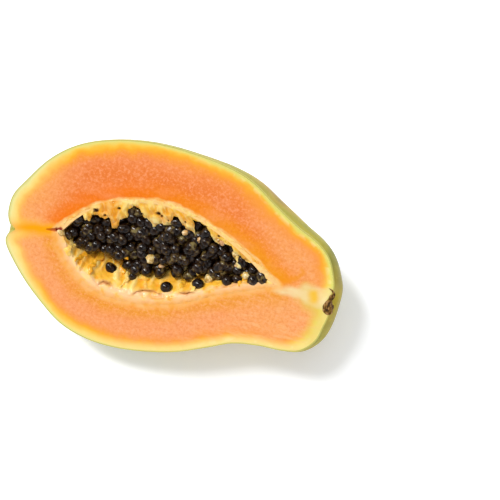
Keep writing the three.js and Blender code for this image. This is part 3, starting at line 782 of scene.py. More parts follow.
CURTAIN_PRESS = 1.6  # mm that the curtain pushes the seeds under it down
LOOSE_ASIDE, LOOSE_UP = 0.75, 0.7  # mm that a top seed may shift
RIDE_UP_SHARE = 0.36  # of the seeds have another that rides up on them
RIDE_UP, RIDE_ASIDE = 2.3, 2.9  # mm up and aside from the one under it
UNDER_ASIDE = ((2.7, 1.6), (-0.2, -3.0))  # mm in x and v from a top seed to two under it
UNDER_DROP = 4.2  # mm down to the layer that closes the gaps
top_seeds = list(heap_seeds())
layers = {"seeds_top": [], "seeds_riding_up": [], "seeds_under": []}
for k, ((x, v, n), size, turns) in enumerate(top_seeds):
    shift = [2 * scatter(k + 31, row) - 1 for row in (1, 2, 3)]
    pressed = n - CURTAIN_PRESS * (v > curtain_reach(x) - 1.5)
    at = (x + LOOSE_ASIDE * shift[0], v + LOOSE_ASIDE * shift[1], pressed + LOOSE_UP * shift[2])
    layers["seeds_top"].append(seed_part(at, size * (1.08 + 0.17 * scatter(k, 11)), turns, k))
    way = 2 * math.pi * scatter(k, 21)
    beside = (x + RIDE_ASIDE * math.cos(way), v + RIDE_ASIDE * math.sin(way))
    reach = curtain_reach(beside[0])
    clear = beside[1] < reach - 2.4 or reach > root_v(beside[0]) - 4
    if scatter(k, 22) < RIDE_UP_SHARE and inside_heap(*beside) and clear:
        at = (*beside, n + RIDE_UP * (0.6 + 0.5 * scatter(k, 23)))
        layers["seeds_riding_up"].append(seed_part(at, 1.02 + 0.16 * scatter(k, 24), turns[::-1], 300 + k))
    for dx, dv in UNDER_ASIDE:
        if inside_heap(x + dx, v + dv):
            at = (x + dx, v + dv, n - UNDER_DROP)
            layers["seeds_under"].append(seed_part(at, 1.0, turns[::-1], 500 + k, BALL_COARSE))
dark_pieces = [piece(name, *gathered(parts)) for name, parts in layers.items()]
print("seeds:", {name: len(parts) for name, parts in layers.items()})

# %% Lone seeds, seeds along the slope's foot, and pale seeds
lone_pieces = []
for k, (s, angle) in enumerate(LONE_SEEDS):
    at = hollow_surface(np.array([s]), np.array([angle]))[0] + (0, 0, LONE_SEED_PROUD)
    turns = ((0.3, 0.2, -0.8), (0.2, 0.2, 1.5))[k]
    points, faces = seed_part(at, 1.12, turns, 800 + k, BALL_FINE)
    lone_pieces.append(piece(f"lone_seed_{k + 1}_fine", points, faces, {"tone": np.full(len(points), 0.4)}))

FOOT_SEEDS = [  # seeds that have slid off the heap's lower side, against the slope: x, v, size and lift in mm
    (15.8, -18.4, 1.14, 1.4), (30.6, -12.8, 1.16, 1.2), (25.6, -12.2, 1.0, 0.6), (44.2, -8.9, 1.2, 1.8),
    (35.2, -11.0, 1.08, 1.8), (27.2, -9.6, 1.0, 1.0),
    (-24.2, -17.6, 1.1, 1.2), (-20.2, -23.2, 0.8, 0.9), (-58.4, -8.6, 1.0, 0.8), (9.4, -15.8, 1.1, 1.3),
    (-13.8, -18.6, 1.16, 1.4), (-6.4, -17.6, 1.1, 1.2), (-46.6, -13.2, 1.1, 1.0), (-37.4, -11.0, 1.05, 1.2),
    (42.8, -5.4, 1.1, 2.0), (-30.6, -10.0, 1.05, 1.2), (2.4, -15.4, 1.1, 1.2), (-52.2, -12.2, 1.1, 1.2),
]
RIM_SEEDS = [(-54.6, 1.8, -3.4, 1.15), (48.4, -6.0, -2.5, 1.3), (43.4, -3.8, -4.0, 1.05)]  # x, v, n and size
foot_parts = []
for k, (x, v, size, lift) in enumerate(FOOT_SEEDS):
    at = (x, v, max(slope_height(x, v), heap_height(x, v) - 0.8) + lift)
    foot_parts.append(seed_part(at, size, [2 * scatter(k, row) for row in (51, 52, 53)], 700 + k))
for k, (x, v, n, size) in enumerate(RIM_SEEDS):
    foot_parts.append(seed_part((x, v, n), size, (0.4, 2.0 * k, 0.7), 760 + k))
dark_pieces.append(piece("seeds_at_foot", *gathered(foot_parts)))

pale_pieces = []
for k, (x, v) in enumerate(PALE_SEEDS):
    at = (x, v, heap_height(x, v) + PALE_SEED_PROUD + 0.9)
    form = seed_part(at, 1.0, (0.3, 0.5, x), 900 + k, BALL_FINE, PALE_SEED_HALF, wrinkle=0.4)
    pale_pieces.append(piece(f"pale_seed_{k + 1}_fine", *form))
SCRAP_TOP = -1.3  # mm, none stands proud of the cut face
PALE_SCRAPS = [  # x, v and size
    (32.3, 2.6, 0.75), (-61.9, -7.6, 0.8), (33.4, -4.8, 0.6), (3.4, 7.4, 0.6), (11.8, 5.4, 0.6),
    (21.4, 8.0, 0.5), (-49.6, -1.6, 0.5), (28.2, -1.6, 0.5), (-6.0, -13.8, 0.5), (24.0, 7.2, 0.6),
    (37.6, 0.4, 0.5),
]
scrap_parts = []
for k, (x, v, size) in enumerate(PALE_SCRAPS):
    at = (x, v, min(max(heap_height(x, v) + 1.6, slope_height(x, v) + 0.8), SCRAP_TOP))
    turns = [3 * scatter(k, row) for row in (61, 62, 63)]
    scrap_parts.append(seed_part(at, size, turns, 950 + k, BALL_PLAIN, PALE_SEED_HALF, wrinkle=0.8))
scraps = piece("pale_scraps", *gathered(scrap_parts))
print("lone:", len(lone_pieces), " at the foot:", len(foot_parts),
      " pale:", len(pale_pieces), "+", len(PALE_SCRAPS))

# %% [markdown]
# ## Strands of pith on the lower slope
#
# A few folds on the lower slope have come loose between their ends, and the seeds have pulled others
# up over the heap's edge. Each is a flattened tube swept along its own path, half sunk in the slope,
# with a wandering edge.

# %% Strands
def swept(path, half_width, half_thick, seed, rows=40, sides=14, rough=0.5, ends=0.12):
    """Points and faces of a flattened tube along a path, `ends` of its full width at both ends."""
    share = np.linspace(0, 1, rows)
    centre = Outline(path).at(share)
    along = unit(np.gradient(centre, axis=0))
    side = unit(np.cross(along, (0, 0, 1.0)))
    up = np.cross(side, along)
    turn = np.linspace(0, 2 * math.pi, sides, endpoint=False)
    fullness = (ends + (1 - ends) * np.sin(math.pi * share) ** 0.7)[:, None, None]
    points = centre[:, None] + fullness * (
        side[:, None] * half_width * np.cos(turn)[None, :, None]
        + up[:, None] * half_thick * np.sin(turn)[None, :, None])
    points = points + side[:, None] * (rough * half_width * ripple(points, 3.0, seed))[..., None]
    points = points + up[:, None] * (0.5 * rough * half_thick * ripple(points, 1.6, seed + 9))[..., None]
    return points.reshape(-1, 3), tube_faces(rows, sides)


STRANDS = [  # a path in x and v from the seeds to the rim, half width and half thickness in mm
    ([(-39.4, -11.8), (-40.8, -16.6), (-42.8, -21.7), (-42.6, -26.0)], 1.7, 1.0),
    ([(-25.0, -10.2), (-27.8, -14.6), (-28.2, -19.4), (-26.6, -23.4)], 2.5, 1.2),
    ([(-24.8, -20.6), (-22.8, -25.2), (-24.0, -29.4)], 1.3, 0.8),
    ([(-18.4, -21.2), (-14.2, -22.8), (-9.6, -21.6)], 1.2, 0.9),
    ([(14.8, -8.6), (13.4, -12.4), (12.1, -16.8), (14.6, -21.4)], 1.6, 1.0),
    ([(5.8, -16.8), (7.8, -20.0), (6.4, -23.2)], 1.3, 0.7),
    ([(-54.0, -12.4), (-56.1, -15.6), (-54.6, -18.8)], 1.4, 0.8),
    ([(-47.2, -13.8), (-48.4, -17.6), (-50.9, -20.8)], 1.1, 0.7),
    ([(-34.0, -12.0), (-34.4, -16.4), (-33.0, -19.6)], 1.3, 0.7),
    ([(31.4, 4.2), (33.6, 0.6), (37.6, -2.8)], 1.3, 0.9),
    ([(35.6, -4.4), (37.4, -8.6), (37.0, -13.2)], 1.6, 1.0),
]
STRAND_LIFT, OVER_SEEDS = 0.15, 2.2  # mm above the slope, and above the heap's seeds


def strand_height(x, v):
    """How high a strand lies: on the slope, or on the seeds where it crosses them."""
    lying = slope_height(x, v) + STRAND_LIFT
    return max(lying, heap_height(x, v) + OVER_SEEDS) if inside_heap(x, v) else lying


strand_parts = []
for k, (flat_path, half, thick) in enumerate(STRANDS):
    walk = Outline(flat_path).at(np.linspace(0, 1, 9))
    walk[:, 0] += 0.5 * np.sin(4.4 * np.linspace(0, 1, 9) + 6 * scatter(k, 6))
    path = [(x, v, strand_height(x, v)) for x, v in walk]
    strand_parts.append(swept(path, half, thick, seed=60.0 + k, ends=0.35, rough=1.1, rows=60, sides=18))
TIP_STRAND = [(50.2, -7.0, -2.6), (52.2, -7.5, -1.6), (55.2, -8.1, -0.7)]  # fills the cavity's narrow tip
strand_parts.append(swept(TIP_STRAND, 1.5, 0.8, seed=90.0, ends=0.6, rough=0.6, rows=30, sides=18))
strands = piece("pith_strands", *gathered(strand_parts), sharp_deg=80)
print("strands:", len(strand_parts))

# %% [markdown]
# ## The dried stump
#
# Where the fruit hung, the stalk leaves a dry, corky disc in the stem pit. The cut went through it,
# so half of it shows, brown and fibrous, thick on its lower side and drawn out to a curled shred of
# bark on the upper side. It is turned like a lathe part, then thinned, thickened and roughened.

# %% Stump
STUMP_AT = np.array([86.3, -11.2, 0.0])
STUMP_PROFILE = [(0.0, -2.2), (4.4, -1.8), (6.2, 0.2), (5.0, 1.9), (2.4, 1.4), (0.0, 0.7)]
STUMP_TURNS, STUMP_STEPS = 90, 60
STUMP_PROUD = 0.15  # the dry disc stands this much proud of the soft flesh round it
SHRED = [(87.0, -9.9, 0.3), (88.0, -7.2, 0.5), (87.7, -5.0, 0.8), (86.4, -3.6, 1.1), (84.6, -3.1, 0.9)]
radius, x = Outline(STUMP_PROFILE).at(np.linspace(0, 1, STUMP_STEPS)).T
turn = np.linspace(math.pi, 2 * math.pi, STUMP_TURNS)[:, None]
across_v = radius * np.cos(turn)
thickness = 0.55 + 0.85 * smoothstep(-across_v, -3.5, 3.0)
flared_x = x * thickness + 0.035 * across_v ** 2 * (across_v > 0)
bark = np.stack([flared_x, across_v, radius * np.sin(turn)], axis=-1) + STUMP_AT
bark[..., 0] += 0.5 * ripple(bark, 2.2, 50.0) + 0.2 * ripple(bark, 0.7, 15.0)
bark[..., 1] += 0.4 * ripple(bark, 1.9, 7.0)
bark[..., 2] += STUMP_PROUD
cut_line = np.concatenate([bark[-1], bark[0, ::-1]])  # the outline of the cut
cut_shares = np.linspace(0, 1, 14)[1:, None]
cut_rings = cut_line + (cut_line.mean(axis=0) - cut_line) * cut_shares[..., None] * 0.98
cut_rings[..., 2] = STUMP_PROUD + 0.25 * cut_shares ** 0.5 + 0.3 * ripple(cut_rings, 0.9, 33.0)
cut_grid = np.concatenate([cut_line[None], cut_rings])
stump_points = np.concatenate([bark.reshape(-1, 3), cut_grid.reshape(-1, 3)])
cut_faces = grid_faces(len(cut_grid), len(cut_line), first=bark.size // 3, closed=True)
stump_faces = np.concatenate([grid_faces(STUMP_TURNS, STUMP_STEPS), cut_faces]).tolist()
stump_faces.append(list(range(len(stump_points) - len(cut_line), len(stump_points))))  # closes the middle
stump = piece(
    "stalk_stump_fine", *gathered([(stump_points, stump_faces), swept(SHRED, 0.6, 0.35, 5.0)]), sharp_deg=60)
print("stump faces:", len(stump.data.polygons))

# %% [markdown]
# ## Surfaces
#
# Every surface here is a material made of nodes, with no pictures. One small function adds a node,
# sets it and links it. Its inputs come in the order of the node's own sockets, or by name, and a hex
# code stands for a colour. Another mixes a stack of layers over a colour, each by its own weight.
# Patterns are sized by the real thing, in millimetres. Texture coordinates are the object's own, in
# metres, so a pattern stays on the fruit whichever way it is seen.

# %% One function for nodes, and what repeats in every material
def add(tree, kind, inputs=(), stops=(), out=None, **settings):
    """Adds a node, sets it, fills its inputs with values or outputs, and gives its own output."""
    made = tree.nodes.new("ShaderNode" + kind)
    for name, value in settings.items():
        setattr(made, name, value)
    for k, (place, hex_code) in enumerate(stops):
        ramp = made.color_ramp.elements
        stop = ramp[k] if k < 2 else ramp.new(place)
        stop.position, stop.color = place, colour(hex_code)
    if isinstance(inputs, dict):
        filled = [(made.inputs[name], value) for name, value in inputs.items()]
    else:
        filled = zip([socket for socket in made.inputs if socket.enabled], inputs)
    for socket, value in filled:
        if isinstance(value, bpy.types.NodeSocket):
            tree.links.new(value, socket)
        else:
            socket.default_value = colour(value) if isinstance(value, str) else value
    outputs = [socket for socket in made.outputs if socket.enabled]
    return made.outputs[out] if out else (outputs or [None])[0]


def layered(tree, base, layers):
    """Mixes layers over a base colour. A layer is a colour after the factors of its weight."""
    for weight, *factors, tint in layers:
        for factor in factors:
            weight = add(tree, "Math", (weight, factor), operation="MULTIPLY")
        base = add(tree, "Mix", (weight, base, tint), data_type="RGBA")
    return base


def every(size_mm):
    """The scale that makes a pattern's features this many millimetres wide."""
    return 1 / (size_mm * MM)


def new_material(name, mark_names=()):
    """An empty material, with its tree, its object coordinates and the marks on its mesh."""
    material = bpy.data.materials.new(name)
    material.use_nodes = True
    tree = material.node_tree
    tree.nodes.clear()
    marks = {mark: add(tree, "Attribute", out="Fac", attribute_name=mark) for mark in mark_names}
    return material, tree, add(tree, "TexCoord", out="Object"), marks


def finish_with(tree, base, roughness, relief, relief_mm, looks, strength=0.8):
    """Adds the fine relief, the shader and the output of a material."""
    bump = add(tree, "Bump", {"Height": relief, "Distance": relief_mm * MM, "Strength": strength})
    shader = {"Base Color": base, "Roughness": roughness, "Normal": bump, **looks}
    add(tree, "OutputMaterial", (add(tree, "BsdfPrincipled", shader),))


def dress(made, material, cad_slot, *cad_nodes):
    """Gives a piece its material, its body and the solids that it stands for. Its slot argument is not used.
    """
    made.data.materials.clear()
    made.data.materials.append(material)
    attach(made, "root")
    if cad_nodes:
        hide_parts(*cad_nodes)

# %% [markdown]
# ### Ripe papaya flesh, sliced
#
# A knife leaves the flesh smooth and wet, so it has a low gloss. Light goes a few millimetres into it
# and comes back warmer, which is why it looks soft: that is subsurface scattering. From the skin
# inwards it goes from pale green through yellow to salmon, and to deep orange by the cavity. Cut
# cells show as a fine light stipple. The marks on the mesh tell the material how deep each point is,
# and a stack of layers, each a weight and a colour, is mixed over the ramp.

# %% Flesh: how deep each point lies
BANDS_BLOSSOM = [
    (0.0, "#d3d07a"), (0.9, "#e5cf6c"), (2.2, "#eebc44"), (4.2, "#eea52a"),
    (6.6, "#ea9238"), (10.0, "#e6864a"), (16.0, "#e27b38"), (30.0, "#e0742c"),
]
BANDS_STEM = [
    (0.0, "#cdcc6a"), (1.0, "#dccb62"), (2.0, "#e8b440"), (3.4, "#eca030"),
    (5.8, "#ea9238"), (10.5, "#e8873e"), (17.0, "#e27a34"), (30.0, "#e0752e"),
]
BANDS_BLOSSOM_TIP = [
    (0.0, "#d0cc84"), (1.0, "#e6dc92"), (2.6, "#ecd27c"), (4.4, "#eec464"),
    (6.8, "#efb04c"), (9.0, "#eda24c"), (14.0, "#eb9450"), (30.0, "#e68848"),
]
BANDS_STEM_TIP = [
    (0.0, "#ccd06c"), (1.4, "#e0d468"), (3.6, "#e8cc58"), (6.0, "#ebb84a"),
    (8.6, "#eca044"), (12.0, "#ea9048"), (18.0, "#e68444"), (30.0, "#e27a3a"),
]
FLESH_DEPTH = BANDS_STEM[-1][0]
EDGE_UPPER, EDGE_LOWER, EDGE_PATCH = "#efc07a", "#eeb06a", "#eb9c34"  # where flesh and pith grow together


def edge_tint(tree, place, upper_side):
    """The colour where flesh and pith meet: two tones by the side, with orange patches."""
    patches = add(tree, "TexNoise", (place, every(5), 3.0))
    patch = add(tree, "MapRange", (patches, 0.42, 0.62, 0, 0.7))
    return layered(tree, EDGE_LOWER, [(upper_side, EDGE_UPPER), (patch, EDGE_PATCH)])


flesh_material, tree, place, marks = new_material("ripe_papaya_flesh", face_marks)
upper_side = marks["upper_side"]
lower_side = add(tree, "Math", (1.0, upper_side), operation="SUBTRACT")
along = add(tree, "SeparateXYZ", (place,))  # its first output is x
blossom_end = add(tree, "MapRange", (along, -56 * MM, -80 * MM))
blossom_tip = add(tree, "MapRange", (along, -64 * MM, -80 * MM))
stem_end = add(tree, "MapRange", (along, 30 * MM, 58 * MM))
end_share = add(tree, "Math", (blossom_end, stem_end), operation="MAXIMUM")
stem_half = add(tree, "MapRange", (along, -30 * MM, 45 * MM))

drift = add(tree, "TexNoise", (place, every(9), 3.0))
drift_mm = add(tree, "MapRange", (drift, 0.3, 0.7, -1.3, 1.3))
drifted = add(tree, "Math", (marks["from_rim"], drift_mm))
settled = add(tree, "MapRange", (marks["from_rim"], 0, 3.0))
rim_mm = add(tree, "Mix", (settled, marks["from_rim"], drifted))
rim_share = add(tree, "Math", (rim_mm, FLESH_DEPTH), operation="DIVIDE")
cavity_mm = add(tree, "Math", (marks["from_cavity"], drift_mm))
inner_only = add(tree, "MapRange", (rim_mm, 4.0, 10.0))
banded = layered(tree, "#ffffff", [
    (weight, add(tree, "ValToRGB", (rim_share,), [(mm / FLESH_DEPTH, hex_code) for mm, hex_code in bands]))
    for weight, bands in ((1.0, BANDS_BLOSSOM), (stem_half, BANDS_STEM), (blossom_tip, BANDS_BLOSSOM_TIP),
                          (marks["stem_zone"], BANDS_STEM_TIP))])
print("depths in the flesh's ramps, mm:", [mm for mm, _ in BANDS_BLOSSOM])

# %% Flesh: clouds, streaks, stipple and the layers
by_cavity = add(tree, "MapRange", (cavity_mm, 1.5, 12.5, 1, 0), interpolation_type="SMOOTHSTEP")
edge_spread = add(tree, "MapRange", (upper_side, 0, 1, 4.0, 1.4))
edge_bent = add(tree, "Math", (drift_mm, 0.5, marks["from_cavity"]), operation="MULTIPLY_ADD")
edge_mm = add(tree, "Math", (edge_bent, edge_spread), operation="DIVIDE")
at_edge = add(tree, "MapRange", (edge_mm, 0, 1, 1, 0), interpolation_type="SMOOTHSTEP")
drawn_along = add(tree, "Mapping", {"Vector": place, "Scale": (0.4, 1.0, 1.0)})
clouds = add(tree, "TexNoise", (drawn_along, every(8), 5.0))
cloudy = add(tree, "MapRange", (clouds, 0.48, 0.7, 0, 0.7))
band_mottle = add(tree, "MapRange", (clouds, 0.36, 0.56, 0.5, 1))
slanted = add(tree, "Mapping", {
    "Vector": place, "Rotation": (0, 0, math.radians(-28)), "Scale": (0.22, 1.0, 1.0)})
streaks = add(tree, "TexNoise", (slanted, every(1.7), 2.0))
streaky = add(tree, "MapRange", (streaks, 0.5, 0.68, 0, 0.5))
stipple = add(tree, "TexNoise", (place, every(1.5), 3.0, 0.7))
light_dots = add(tree, "MapRange", (stipple, 0.5, 0.66, 0, 0.6))
dark_dots = add(tree, "MapRange", (stipple, 0.48, 0.34, 0, 0.5))
paleness = add(tree, "TexNoise", (place, every(6), 2.0))
pale_share = add(tree, "MapRange", (paleness, 0.52, 0.6, 0, 0.9))
in_rim = add(tree, "MapRange", (marks["from_rim"], 3.6, 1.8))
in_lower_rim = add(tree, "MapRange", (marks["from_rim"], 5.4, 2.0))
not_edge = add(tree, "MapRange", (marks["from_rim"], 0.5, 1.2))
lower_reach = add(tree, "MapRange", (along, -50 * MM, -20 * MM, 0.3, 1))
upper_deep = add(tree, "Math", (by_cavity, upper_side), operation="MULTIPLY")
not_deep = add(tree, "Math", (upper_deep, -0.8, 1.0), operation="MULTIPLY_ADD")
rim_zone = add(tree, "Math", (in_rim, not_edge), operation="MULTIPLY")
toned = layered(tree, banded, [
    (lower_side, inner_only, 0.7, "#eca066"),
    (end_share, inner_only, 0.78, "#eba05c"),
    (upper_deep, 0.95, "#e87408"),
    (upper_deep, stem_half, 0.95, "#e6921a"),
    (by_cavity, lower_side, 0.95, "#e4972e"),
    (cloudy, inner_only, 0.6, "#ec9a66"),
    (streaky, lower_side, stem_half, 0.9, "#edb47c"),
    (streaky, by_cavity, lower_side, 0.9, "#e07c1c"),
    (light_dots, inner_only, not_deep, 0.8, "#f2ab7c"),
    (dark_dots, inner_only, 0.6, "#d45f24"),
    (in_lower_rim, lower_side, lower_reach, 0.65, "#f0d28c"),
    (pale_share, stem_half, rim_zone, 0.4, "#eee0a4"),
    (marks["style_glow"], 0.9, "#f0b036"),
    (marks["style_band"], 1.0, "#f09c00"),
    (marks["orange_line"], 0.85, "#e68c10"),
    (marks["stem_branch"], 0.9, "#d8c25a"),
    (marks["stem_band"], band_mottle, 0.95, "#e8d09c"),
    (marks["stem_spot"], 0.85, "#e9b41a"),
    (at_edge, edge_tint(tree, place, upper_side)),
    # the slit's own red-brown, painted darker as painted shade at the bottom of the slit
    (marks["slit"], "#a63200"),
    (marks["blemish"], "#4c4a1a"),
])
wetness = add(tree, "MapRange", (drift, 0, 1, 0.36, 0.58))
finish_with(tree, toned, wetness, stipple, 0.12, {
    "IOR": 1.38,  # sugary water in the cells
    "Specular IOR Level": 0.2,
    "Subsurface Weight": 0.15, "Subsurface Radius": (1.0, 0.5, 0.25), "Subsurface Scale": 2 * MM,
})
dress(flesh, flesh_material, "flesh", "fruit")
print("nodes in the flesh:", len(tree.nodes))

# %% [markdown]
# ### Waxy papaya skin
#
# The skin has a thin natural wax, so it shines softly. As the fruit ripens, chlorophyll breaks down
# in patches: green turns yellow-green, then yellow and orange, and the blossom end stays greenest.

# %% Skin
skin_material, tree, place, marks = new_material("waxy_papaya_skin", ("along", "around"))
drawn_along = add(tree, "Mapping", {"Vector": place, "Scale": (0.55, 1.0, 1.0)})
blotch = add(tree, "TexNoise", (drawn_along, every(34), 4.0, 0.55))
ripened = add(tree, "ValToRGB", (blotch,), [
    (0.30, "#6b6a08"), (0.41, "#8a860c"), (0.50, "#a89c12"), (0.60, "#b39614"), (0.72, "#9c7412")])
patch = add(tree, "TexNoise", (place, every(7), 5.0, 0.6))
fleck = add(tree, "TexNoise", (place, every(1.8), 2.0))
from_keel = add(tree, "Math", (marks["around"], 0.5), operation="SUBTRACT")
round_share = add(tree, "Math", (from_keel,), operation="ABSOLUTE")
waxed = layered(tree, ripened, [
    (add(tree, "MapRange", (patch, 0.47, 0.68, 0, 0.3)), "#717c10"),
    (add(tree, "MapRange", (fleck, 0.58, 0.72, 0, 0.5)), "#bcae34"),
    (add(tree, "MapRange", (marks["along"], 0.16, 0, 0, 0.8)), "#98963c"),  # the blossom end
    (add(tree, "MapRange", (marks["along"], 0.9, 1, 0, 0.7)), "#d4b22e"),  # the stem end
    (add(tree, "MapRange", (round_share, 0.488, 0.498, 0, 0.85)), "#c0b860"),  # by the cut
])
pore = add(tree, "TexVoronoi", (place, every(1.6)))
pore_dip = add(tree, "MapRange", (pore, 0, 0.35))
wax = add(tree, "MapRange", (patch, 0, 1, 0.36, 0.54))
finish_with(tree, waxed, wax, pore_dip, 0.05, {"IOR": 1.45, "Specular IOR Level": 0.2}, strength=0.5)
dress(skin, skin_material, "skin", "fruit")
print("nodes in the skin:", len(tree.nodes))

# %% [markdown]
# ### Pith
#
# Pith is loose, wet tissue, pinkish cream by the rim and yellow by the seeds, where it is thin and
# stretched. The folds are painted lighter on top, a painted highlight, and the hollows and deepest
# creases are painted darker orange and brown, a painted shade.
# At its outer edge it fades into the flesh, because the two grow as one: both use the same colour
# there.

# %% Pith lining
WET_PITH = {
    "IOR": 1.38, "Specular IOR Level": 0.4, "Coat Weight": 0.15, "Coat Roughness": 0.15,
    "Subsurface Weight": 0.3, "Subsurface Radius": (1.0, 0.6, 0.25), "Subsurface Scale": 2 * MM,
}
pith_material, tree, place, marks = new_material("wet_papaya_pith", pith_marks)
patchy = add(tree, "TexNoise", (place, every(4.5), 3.0))
yellow_spread = add(tree, "MapRange", (patchy, 0.3, 0.7, -0.4, 0.4))
yellowness = add(tree, "Math", (marks["near_seeds"], yellow_spread))
yellowed = add(tree, "ValToRGB", (yellowness,), [
    (0.0, "#f5c490"), (0.3, "#f4c873"), (0.6, "#f3bc3e"), (1.0, "#f0b032")])
edge_spread = add(tree, "MapRange", (marks["upper_side"], 0, 1, 3.4, 2.0))
edge_mm = add(tree, "Math", (marks["from_edge"], edge_spread), operation="DIVIDE")
at_edge = add(tree, "MapRange", (edge_mm, 0, 1, 1, 0), interpolation_type="SMOOTHSTEP")
rim_share = add(tree, "MapRange", (marks["from_edge"], 4.2, 2.4, 0, 0.9))
toned = layered(tree, yellowed, [
    # painted shade: the hollows of the relief are painted darker orange
    (add(tree, "MapRange", (marks["height"], 0.2, -1.2, 0, 0.75)), "#e4922a"),  # hollows
    # painted highlight: the crests of the relief are painted lighter cream
    (add(tree, "MapRange", (marks["height"], 0.4, 1.8, 0, 0.75)), "#f9dc8a"),  # crests
    (add(tree, "MapRange", (patchy, 0.6, 0.72, 0, 0.6)), "#f0921e"),
    # painted shade: the creases are painted brown
    (marks["crease"], "#c07c40"),
    (rim_share, marks["upper_side"], "#f4c67c"),
    (at_edge, edge_tint(tree, place, marks["upper_side"])),
    # the pith at the slit: its own red-brown, painted darker as painted shade in the slit
    (marks["slit"], "#842000"),
])
fibre = add(tree, "TexNoise", (place, every(0.9), 2.0))
finish_with(tree, toned, 0.34, fibre, 0.12, {**WET_PITH, "Subsurface Weight": 0.12})
dress(pith, pith_material, "pith", "pith")
print("nodes in the lining:", len(tree.nodes))

# %% The curtain and the strands
ORANGE_AT = -40.5  # place along the fruit, in mm, of the deep orange part of the curtain
curtain_material, tree, place, marks = new_material("torn_papaya_pith", curtain_marks)
fleck = add(tree, "TexNoise", (place, every(3.5), 3.0))
fleck_mm = add(tree, "MapRange", (fleck, 0, 1, -4.0, 4.0))
hanging = add(tree, "Math", (marks["down"], fleck_mm))
hanging_share = add(tree, "MapRange", (hanging, 0, 14.0))
curtain_tone = add(tree, "ValToRGB", (hanging_share,), [
    (0.0, "#f5c880"), (0.16, "#f6cd78"), (0.34, "#f0b030"), (0.6, "#f2b844"), (0.85, "#f4cf80")])
fibre_way = add(tree, "CombineXYZ", (marks["root_x"], marks["down"]))
fibre_long = add(tree, "Mapping", {"Vector": fibre_way, "Scale": (1 / 1.9, 1 / 7.0, 1.0)})
fibre = add(tree, "TexNoise", (fibre_long, 1.0, 3.0))
glow = add(tree, "TexNoise", (place, every(11), 1.0))
from_orange = add(tree, "Math", (marks["root_x"], ORANGE_AT), operation="SUBTRACT")
gap_orange = add(tree, "Math", (from_orange,), operation="ABSOLUTE")
toned = layered(tree, curtain_tone, [
    (add(tree, "MapRange", (glow, 0.53, 0.66, 0, 0.75)), "#ee9818"),
    (add(tree, "MapRange", (gap_orange, 8.0, 3.0, 0, 0.9)), "#ec9414"),
    (add(tree, "MapRange", (fibre, 0.46, 0.32, 0, 0.5)), "#de9620"),
    # painted shade: the sunken parts of the lumpy curtain are painted darker orange
    (add(tree, "MapRange", (marks["lump"], -0.1, -0.5, 0, 0.6)), "#dd8618"),
    # painted highlight: the raised parts of the lumps are painted lighter cream
    (add(tree, "MapRange", (marks["lump"], 0.1, 0.5, 0, 0.4)), "#fbdc8c"),
    (add(tree, "MapRange", (marks["streak"], 0.1, 0.6, 0, 0.35)), "#f9d888"),
    (add(tree, "MapRange", (fibre, 0.52, 0.7, 0, 0.45)), "#fadf9c"),
    # painted shade: each hole is a shallow dip painted near black, for the shade seen through it
    (marks["hole"], "#2c0e05"),
])
finish_with(tree, toned, 0.34, fibre, 0.3, WET_PITH)
dress(curtain, curtain_material, "pith", "pith")

strand_material, tree, place, marks = new_material("stretched_papaya_pith", ("tone",))
fleck = add(tree, "TexNoise", (place, every(3), 3.0))
mixed_tone = add(tree, "Math", (marks["tone"], fleck))
half_tone = add(tree, "Math", (mixed_tone, 0.5), operation="MULTIPLY")
toned = add(tree, "ValToRGB", (half_tone,), [(0.2, "#ea9e1c"), (0.45, "#f1b838"), (0.75, "#f6d07c")])
fibre = add(tree, "TexNoise", (place, every(0.8), 2.0))
finish_with(tree, toned, 0.32, fibre, 0.12, {**WET_PITH, "Coat Weight": 0.2})
dress(strands, strand_material, "pith", "pith")
print("pieces of pith dressed:", pith.name, curtain.name, strands.name)

# %% [markdown]
# ### Seeds in their gel
#
# The coat is near black with a brown cast, and the bag of gel over it is wet. So each seed has a
# sharp highlight from the coat layer. About one in five has thick gel, which looks grey-green.

# %% Dark seeds
seed_material, tree, place, marks = new_material("papaya_seed_in_gel", ("tone",))
mottle = add(tree, "TexNoise", (place, every(2.6), 2.0))
thick_gel = add(tree, "MapRange", (marks["tone"], 0.72, 0.95, 0, 0.15))
seed_tone = add(tree, "Math", (mottle, thick_gel))
toned = add(tree, "ValToRGB", (seed_tone,), [
    (0.42, "#0e0401"), (0.54, "#1c0c03"), (0.62, "#301e0a"), (0.70, "#503e1c"), (0.82, "#7c6e42")])
finish_with(tree, toned, 0.4, mottle, 0.2, {
    "IOR": 1.38, "Specular IOR Level": 0.1,
    "Coat Weight": 1.0, "Coat Roughness": 0.1, "Coat IOR": 1.35,  # the wet gel
})
for made in dark_pieces:
    dress(made, seed_material, "seed", "seed_heap")
for k, made in enumerate(lone_pieces):
    dress(made, seed_material, "seed", f"lone_seed_{k + 1}")
print("dark seeds dressed in", len(dark_pieces) + len(lone_pieces), "pieces")

# %% Pale seeds, and the stump
pale_material, tree, place, marks = new_material("unfilled_papaya_seed", ("tone",))
spots = add(tree, "TexNoise", (place, every(2), 3.0))
pale = add(tree, "ValToRGB", (spots,), [(0.35, "#b98f42"), (0.5, "#dcbf7c"), (0.68, "#efe0b2")])
toned = layered(tree, pale, [(marks["tone"], 0.8, "#b8845c")])
finish_with(tree, toned, 0.35, spots, 0.2, {
    **WET_PITH, "Coat Weight": 0.3,
    "Subsurface Weight": 0.4, "Subsurface Radius": (1.0, 0.7, 0.4), "Subsurface Scale": 1.5 * MM,
})
for k, made in enumerate(pale_pieces):
    dress(made, pale_material, "pale_seed", f"pale_seed_{k + 1}")
dress(scraps, pale_material, "pale_seed")

